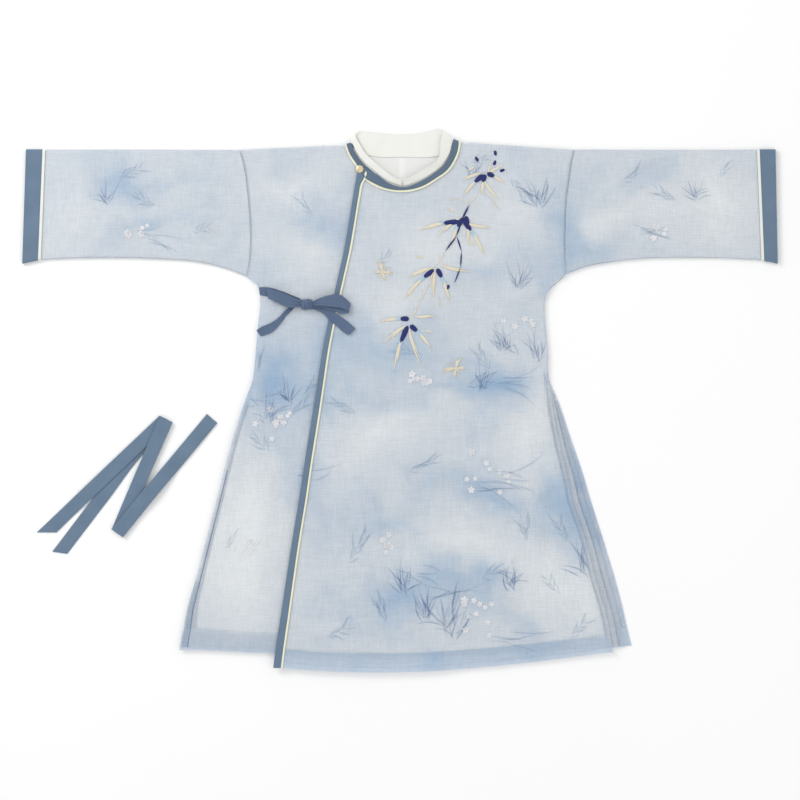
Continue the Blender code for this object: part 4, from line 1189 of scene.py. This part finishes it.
def build_tie():
    """The knotted ribbons that close the robe at its right side."""
    plan = [
        ("root", TIE_ROOT, (0, 1), 0.0115, 0.056, "front_under", 33),
        ("loop_right", TIE_LOOP_RIGHT, (1, 1), 0.0165, 0.09, "tie_root", 17),
        ("loop_left", TIE_LOOP_LEFT, (1, 1), 0.0165, 0.1, "front_over", 21),
        ("tail_right", TIE_TAIL_RIGHT, (1, 0), 0.0115, 0.055, "front_under", 13),
        ("tail_left", TIE_TAIL_LEFT, (1, 0), 0.0135, 0.07, "front_over", 17),
    ]
    for name, table, ends, width, length, below, columns in plan:
        grid = ribbon_grid(table, 1.5, columns)
        grid[..., 2] += TAPE_RISE
        grid = gathered(grid, ends)
        away = grid_normals(grid) * TAPE_WALL / 2
        flat = (width, length)
        folded_cloth(f"tie_{name}", grid, away, TIE_SHADED_COTTON, "slate_cotton", flat, [f"{below}_cloth"])


def build_knot():
    """Knot of the tie: a pleated cushion."""
    x0, y0 = TIE_KNOT_CENTRE
    across = np.sin(np.linspace(-1, 1, TIE_KNOT_COLUMNS) * np.pi / 2)
    u, v = np.meshgrid(across, across)
    corner = 1 - 0.10 * (u * u * v * v)
    x = x0 + TIE_KNOT_HALF[0] * u * corner * (1 - 0.10 * np.abs(v) ** 2)
    y = y0 + TIE_KNOT_HALF[1] * v * corner + 0.5 * np.sin(u * 4)
    dome = np.sqrt(np.maximum(0, (1 - np.abs(u) ** 2.6) * (1 - np.abs(v) ** 3)))
    pleats = 0.75 * np.sin(u * 9 + 1.2 * v) + 0.35 * np.sin(u * 17 - v * 2)
    rim = TIE_KNOT_LOW + 0.6
    upper = np.stack([x, y, rim + (TIE_KNOT_HIGH - rim + pleats) * dome], -1)
    lower = np.stack([x, y, np.full_like(x, TIE_KNOT_LOW + 0.2)], -1)
    thing = add_shell("tie_knot_cloth", relief(upper), TIE_SHADED_COTTON, lower=relief(lower))
    keep("tie_knot", thing)


def build_button():
    """Faceted gilt knob."""
    low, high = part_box("button")
    centre = (low + high) / 2 / MM
    height = (high.z - low.z) / MM
    sides, last = KNOB_SIDES, len(KNOB_RINGS) - 1
    points, faces = [], []
    for ring, (width, rise) in enumerate(KNOB_RINGS):
        for side in range(sides):
            angle = 2 * math.pi * (side + 0.5 * (ring % 2)) / sides
            x, y = ahead(centre.x, centre.y, angle, KNOB_RADIUS * width)
            points.append((x, y, low.z / MM - KNOB_SUNK + height * rise))
    for ring in range(last):
        for side in range(sides):
            a, b = ring * sides + side, ring * sides + (side + 1) % sides
            c, d = a + sides, b + sides
            faces += [[a, d, c], [a, b, d]] if ring % 2 else [[a, b, c], [b, d, c]]
    faces.append(list(reversed(range(sides))))
    faces.append([last * sides + side for side in range(sides)])
    keep("button", make_object("button_knob", points, faces, GILT, sharp=0))


def build_belt():
    """The loose belt, folded in half and laid in a zigzag."""
    plan = [(BELT_1, 1, 0.228), (BELT_2, 1, 0.23), (BELT_3, 2, 0.334), (BELT_4, 2, 0.404)]
    for number, (table, layers, length) in enumerate(plan, 1):
        node = f"belt_stretch_{number}"
        grid = ribbon_grid(table, 2.5, 11)
        along = lengths_of(np.maximum(grid, (-np.inf, -np.inf, 0.0)))[..., 1] / MM
        across = np.linspace(-1, 1, grid.shape[1])[None, :]
        phase = BELT_PHASE + table[0][0]
        soft = 0.22 * np.sin(along / 21 + phase) + 0.16 * across * np.sin(along / 13 + phase * 2)
        low = np.maximum(grid[..., 2], 0.0) + np.maximum(soft, 0)
        thing = add_shell(f"{node}_cloth", at_height(grid, low + BELT_PITCH * layers), COTTON, 0.85)
        if layers == 2:
            below = add_shell(f"{node}_below", at_height(grid, low + BELT_PITCH), COTTON, 0.8)
            with bpy.context.temp_override(active_object=thing, selected_editable_objects=[thing, below]):
                bpy.ops.object.join()
        held = "folded" if layers == 2 else "laid"
        sheet(node, thing, "slate_cotton", (0.0185, length), ["pale_table"], held)


def ahead(x, y, angle, distance):
    """Place at a distance from a point in one direction."""
    return x + math.cos(angle) * distance, y + math.sin(angle) * distance


class Marks:
    """Collects many small raised or printed shapes on the pieces of some nodes into one mesh."""

    def __init__(self, name, material, nodes, side=1):
        self.name, self.material, self.side = name, material, side
        self.trees = [surface_of(node) for node in nodes]
        self.points, self.faces, self.uvs = [], [], []

    def ground(self, x, y):
        """Height of the outermost cloth at a place, or None."""
        start = Vector((x * MM + SHIFT[0] * MM, y * MM + SHIFT[1] * MM, 0.1 * self.side))
        hits = [tree.ray_cast(start, Vector((0, 0, -self.side)))[0] for tree in self.trees]
        heights = [hit.z / MM for hit in hits if hit is not None]
        if not heights:
            return None
        return max(heights) if self.side > 0 else min(heights)

    def leaf(self, x, y, angle, length, width, bend=0.0, lift=0.08, puff=0.0, steps=8, blunt=1.0):
        """Slender pointed shape along a bent line; puff raises its middle."""
        points, uvs = [], []
        for step in range(steps + 1):
            share = step / steps
            heading = angle + bend * share
            cx, cy = ahead(x, y, heading, length * share)
            half = width / 2 * (math.sin(math.pi * min(share ** 0.8, 1.0)) ** blunt + 0.03)
            for column in LEAF_COLUMNS:
                px, py = ahead(cx, cy, heading + math.pi / 2, half * column)
                ground = self.ground(px, py)
                if ground is None:
                    return
                raised = lift + puff * (1 - column * column) * min(1.0, half / (width / 2 + 1e-6) + 0.2)
                points.append((px + SHIFT[0], py + SHIFT[1], ground + raised * self.side))
                uvs.append((abs(column) * half * MM, share * length * MM))
        count = len(LEAF_COLUMNS)
        for step in range(steps):
            for column in range(count - 1):
                a = len(self.points) + step * count + column
                face = [a, a + count, a + count + 1, a + 1]
                self.faces.append(face if self.side < 0 else face[::-1])
        self.points += points
        self.uvs += uvs

    def blossom(self, x, y, radius, turn):
        """Small round flower."""
        for petal in range(PETALS):
            angle = turn + 2 * math.pi * petal / PETALS
            self.leaf(x, y, angle, radius, radius * 0.75, steps=4, blunt=0.6)

    def stroke(self, path, width, blunt=0.1, steps=3, **look):
        """Line of short shapes along a path of points."""
        for (x0, y0), (x1, y1) in zip(path, path[1:]):
            length = math.hypot(x1 - x0, y1 - y0) * (1.0 + 0.4 * blunt)
            self.leaf(x0, y0, math.atan2(y1 - y0, x1 - x0), length, width, steps=steps, blunt=blunt, **look)

    def stitches(self, path, pitch=3.2, length=2.1):
        """Running stitches along a path of points."""
        path = np.array(path, float)
        knots = knots_of(path)
        place = STITCH_START
        while place + length < knots[-1]:
            (x0, x1), (y0, y1) = (np.interp((place, place + length), knots, path[:, axis]) for axis in (0, 1))
            angle = math.atan2(y1 - y0, x1 - x0)
            self.leaf(x0, y0, angle, length, STITCH_WIDTH, puff=0.18, lift=0.02, steps=3, blunt=0.5)
            place += pitch

    def build(self, slot=None):
        """Make the mesh, if any shape was laid."""
        if not self.faces:
            return
        thing = make_object(self.name, self.points, self.faces, self.material, self.uvs, 80)
        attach(thing, "root")


def sprig(marks, x, y, angle, size, rng):
    """Spray of narrow leaves from one stem."""
    for number in range(rng.randint(5, 8)):
        side = 1 if number % 2 else -1
        px, py = ahead(x, y, angle, size * 0.12 * number)
        spread = side * rng.uniform(0.35, 0.95)
        length = size * rng.uniform(0.35, 0.6)
        width = length * rng.uniform(0.10, 0.16)
        marks.leaf(px, py, angle + spread, length, width, -side * rng.uniform(0.1, 0.5))
    marks.leaf(x, y, angle, size, size * 0.025, 0.1)


def tuft(marks, x, y, size, rng):
    """Clump of long narrow leaves and a few thin stalks that rise from one place."""
    for _ in range(rng.randint(10, 13)):
        heading = math.radians(90 + rng.uniform(-62, 62))
        length = size * rng.uniform(0.45, 1.0)
        px, py = x + rng.uniform(-0.16, 0.16) * size, y + rng.uniform(-0.1, 0.3) * size
        marks.leaf(px, py, heading, length, length * rng.uniform(0.045, 0.09), rng.uniform(-0.7, 0.7))
    for _ in range(3):
        heading = math.radians(90 + rng.uniform(-16, 16))
        px = x + rng.uniform(-0.2, 0.2) * size
        marks.leaf(px, y, heading, size * rng.uniform(1.0, 1.5), 1.1, rng.uniform(-0.2, 0.2))


def ripple(marks, x, y, length, rng):
    """Loose brush lines that run across."""
    for number in range(5):
        heading = rng.uniform(-0.25, 0.25)
        px = x + rng.uniform(-0.4, 0.1) * length
        py = y + number * 4 + rng.uniform(-2, 2)
        reach, width = length * rng.uniform(0.4, 0.9), rng.uniform(1.4, 3.2)
        marks.leaf(px, py, heading, reach, width, rng.uniform(-0.5, 0.5))


def build_print():
    """Faint sprigs and pale blossoms printed on the outer cloth, front and back."""
    rng = random.Random(41)
    for name, nodes, side in (("front", FRONT_NODES, 1), ("back", BACK_NODES, -1)):
        ink = Marks(f"print_sprigs_{name}", BLUE_INK_AND_SHADE, nodes, side)
        deep = Marks(f"print_tufts_{name}", DEEP_INK, nodes, side)
        pale = Marks(f"print_blossoms_{name}", PALE_INK, nodes, side)
        for x, y, angle, size in SPRIGS:
            sprig(ink, x, y, angle + (BACK_TURN if side < 0 else 0.0), size, rng)
        for x, y, spread, count in BLOSSOMS:
            for _ in range(count):
                px, py = x + rng.gauss(0, spread), y + rng.gauss(0, spread * 0.6)
                pale.blossom(px, py, rng.uniform(3.0, 5.5), rng.uniform(0, 6))
        for x, y, size in TUFTS:
            tuft(deep, x, y, size, rng)
        for x, y, length in RIPPLES:
            ripple(ink, x, y, length, rng)
        for marks in (ink, deep, pale):
            marks.build("organza")


def build_edge_shades():
    """Painted shade: darker lines and blue washes painted along the folded edges of the slits."""
    shade = [(x + depth * 0.72, y) for y, x, depth in RIGHT_PLEAT[2:]]
    wash = [(x + depth * 0.34, y) for y, x, depth in RIGHT_PLEAT[1:]]
    slit = offset_path(LEFT_BACK_SIDE[5:], -5.4).tolist()
    plan = [
        ("pleat_edge_shade", FOLD_SHADE_PAINT, "front_under", shade, 1.5),
        ("pleat_edge_shade_wash", BLUE_INK_AND_SHADE, "front_under", wash, 6.5),
        ("slit_edge_shade_wash", BLUE_INK_AND_SHADE, "back_outer", slit, 9.0),
    ]
    for name, material, node, path, width in plan:
        marks = Marks(name, material, [node])
        marks.stroke(path, width, blunt=0, steps=8)
        marks.build("organza")


def feathered(marks, x, y, angle, length, width, bend, rng):
    """Leaf of a few long stitches that spread towards its tip."""
    for number, spread in enumerate((-0.075, 0.07, 0.0)):
        reach = length * (1.0 if spread == 0.0 else rng.uniform(0.66, 0.9))
        look = {"lift": 0.08 + 0.05 * number, "puff": 0.3, "steps": 10, "blunt": 0.9}
        marks.leaf(x, y, angle + spread, reach, width * 0.5, bend - spread * 0.6, **look)


def shaded_leaf(threads, x, y, heading, length, rng):
    """Leaf with a dark root, a light blue middle and a cream tip."""
    gold, sky, navy = threads
    angle = math.radians(heading)
    bend = math.radians(10 if heading < 265 else -10)
    feathered(gold, *ahead(x, y, angle, length * 0.32), angle, length * 0.72, 4.9, bend, rng)
    for spread in (-0.1, 0.0, 0.1):
        reach = length * rng.uniform(0.26, 0.36)
        root = ahead(x, y, angle, length * 0.22)
        sky.leaf(*root, angle + spread, reach, 2.4, lift=0.2, puff=0.3, steps=7, blunt=0.7)
    reach = length * rng.uniform(0.28, 0.4)
    navy.leaf(*ahead(x, y, angle, 2.5), angle, reach, 6.6, lift=0.3, puff=0.55, blunt=0.4)


def spread_out(x, y):
    """Place in the spray at its full size."""
    return mix(SPRAY_TOP, (x, y), SPRAY_SCALE)


def butterfly(marks, x, y, angle, size, rng):
    """Four wings of three stitches each, a body and two feelers."""
    look = {"lift": 0.12, "puff": 0.5}
    for side, spread, length in ((1, 0.7, 1.1), (-1, 0.7, 1.0), (1, 1.9, 0.75), (-1, 1.9, 0.7)):
        for part in (-0.16, 0.0, 0.16):
            heading = angle + side * spread + part
            reach = size * length * rng.uniform(0.8, 1.05)
            marks.leaf(x, y, heading, reach, size * 0.1, side * 0.35, steps=6, blunt=0.8, **look)
    marks.leaf(*ahead(x, y, angle, -size * 0.5), angle, size, 1.8, **look)
    for side in (-1, 1):
        root = ahead(x, y, angle, size * 0.4)
        marks.leaf(*root, angle + side * 0.3, size * 0.5, 0.7, side * 0.5, **look)


def build_embroidery():
    """Spray of raised leaves with stems and buds, and two butterflies, on the over-front."""
    threads = [
        Marks(f"embroidery_{name}", material, ["front_over"])
        for name, material in (("gold", GOLD_THREAD), ("sky", SKY_THREAD), ("navy", NAVY_THREAD))
    ]
    gold, _, navy = threads
    rng = random.Random(7)
    for centre_x, centre_y, leaves in FANS:
        centre_x, centre_y = spread_out(centre_x, centre_y)
        for heading, length, shaded in leaves:
            length *= SPRAY_SCALE * rng.uniform(0.8, 1.15)
            heading += rng.uniform(-9, 9)
            slide = rng.uniform(-5, 9)
            x, y = centre_x + slide * 0.45, centre_y + slide
            if shaded:
                shaded_leaf(threads, x, y, heading, length, rng)
            else:
                angle = math.radians(heading)
                feathered(gold, *ahead(x, y, angle, 4), angle, length, 4.4, 0.2, rng)
    strokes = [(gold, STEM, 1.5, 0.1, 0.4), (navy, STEM[3:7], 2.5, 0.2, 0.5)]
    strokes.append((navy, SIDE_STEM, 1.9, 0.2, 0.45))
    strokes += [(gold, path, 1.1, 0.1, 0.3) for path in TENDRILS]
    for marks, path, width, lift, puff in strokes:
        marks.stroke([spread_out(*place) for place in path], width, lift=lift, puff=puff)
    for x, y, heading in BUDS:
        angle = math.radians(heading)
        navy.leaf(*spread_out(x, y), angle, 7.5, 4.0, lift=0.12, puff=0.5, steps=6, blunt=0.5)
    for x, y, heading in GOLD_BUDS:
        feathered(gold, *spread_out(x, y), math.radians(heading), 11, 4.0, 0.1, rng)
    for x, y, angle, size in BUTTERFLIES:
        butterfly(gold, x, y, angle, size, rng)
    for marks in threads:
        marks.build()


def offset_path(path, amount):
    """Path moved sideways by a fixed distance."""
    path = np.array(path, float)[:, :2]
    run = np.gradient(path, axis=0)
    run /= np.linalg.norm(run, axis=-1, keepdims=True)
    return path + np.stack([-run[:, 1], run[:, 0]], axis=-1) * amount


def build_stitching():
    """Stitches along hems, slits, seams, bands, cuffs and lining, with two seams laid as strips."""
    over = refine(over_front_rows(), 5.0, (OVER_CORNER,))
    under = refine(under_front_rows(), 5.0)
    outer = Marks("stitches_outer", SEAM_THREAD, FRONT_NODES)
    plan = [
        (over[-1, 2:], HEM_STITCH), (under[-1, 5:], -HEM_STITCH), (LEFT_SIDE[7:], -SLIT_STITCH),
        (RIGHT_SIDE[5:], SLIT_STITCH), (LEFT_SEAM, -SEAM_STITCH), (RIGHT_SEAM, SEAM_STITCH),
    ]
    for path, amount in plan:
        outer.stitches(offset_path(path, amount))
    outer.build()
    bands = ("neck_band_over", "placket_band_over", "cuff_right", "cuff_left")
    slate = Marks("stitches_bands", SLATE_THREAD, bands)
    slate.stitches([(row[0] + 1.4, row[1]) for row in OVER_EDGE[OVER_CORNER + 1:]])
    for cuff, inset in ((RIGHT_CUFF, 2), (LEFT_CUFF, -2)):
        for (x_top, _, x_low, _), shift in ((cuff[0], -inset), (cuff[-1], inset)):
            slate.stitches([(x_top + shift, CUFF_TOP_Y), (x_low + shift, CUFF_LOW_Y)])
    slate.build("slate_cotton")
    ends = ("neck_band_over", "neck_piping_over", "placket_band_over", "placket_piping_over", "front_over")
    corner = Marks("corner_piping", SATIN, ends)
    corner.stroke(CORNER_PATH, 2.9, lift=0.1, puff=0.8)
    corner.build("cream_satin")
    lining = Marks("stitches_lining", WHITE_THREAD, ["back_lining"])
    for x in LINING_SEAMS_X:
        lining.stitches([(x + 1, SEAM_TOP_Y), (x, SEAM_LOW_Y)], 2.6, 1.8)
    lining.build("lining")
    seam = Marks("centre_back_seam", SEAM_LINING, ["back_lining"])
    seam.leaf(*CENTRE_SEAM, -math.pi / 2, 35, 9.0, -0.01, puff=0.2, steps=14, blunt=0)
    seam.build("lining")


def add_lamp(name, place, size, power):
    """Square light that points at the robe."""
    light = bpy.data.lights.new(name, "AREA")
    light.size = size
    light.energy = power
    lamp = bpy.data.objects.new(name, light)
    lamp.location = place
    lamp.rotation_euler = (-Vector(place)).to_track_quat("-Z", "Y").to_euler()
    bpy.context.scene.collection.objects.link(lamp)


def build_stage():
    """Pale table, soft studio light and the camera straight above."""
    half = TABLE_HALF
    corners = [(-half, -half, 0), (half, -half, 0), (half, half, 0), (-half, half, 0)]
    floor = make_object("pale_table", corners, [[0, 1, 2, 3]], floor_material())
    floor.location.z = -TABLE_DROP * MM
    scene = bpy.context.scene
    scene.view_settings.view_transform = "Standard"
    scene.world = bpy.data.worlds.new("studio")
    scene.world.use_nodes = True
    background = scene.world.node_tree.nodes["Background"]
    background.inputs["Color"].default_value = (1.0, 1.0, 1.0, 1)
    background.inputs["Strength"].default_value = WORLD_LIGHT
    add_lamp("key", (-1.9, 1.7, 1.7), 1.1, 34)
    add_lamp("fill", (2.0, -1.2, 2.2), 2.0, 10)
    camera = bpy.data.objects.new("camera", bpy.data.cameras.new("camera"))
    camera.data.lens = CAMERA_LENS
    camera.data.sensor_width = 36
    camera.data.clip_end = 20
    camera.location = (SHIFT[0] * MM, SHIFT[1] * MM, CAMERA_HEIGHT)
    scene.collection.objects.link(camera)
    scene.camera = camera


build_back()
build_under_front()
build_over_front()
build_sleeve("right", RIGHT_SEAM, RIGHT_SLEEVE, RIGHT_CUFF)
build_sleeve("left", LEFT_SEAM, LEFT_SLEEVE, LEFT_CUFF)
build_collar()
build_pleats()
build_tie()
build_knot()
build_button()
build_belt()
build_print()
build_edge_shades()
build_embroidery()
build_stitching()
build_stage()
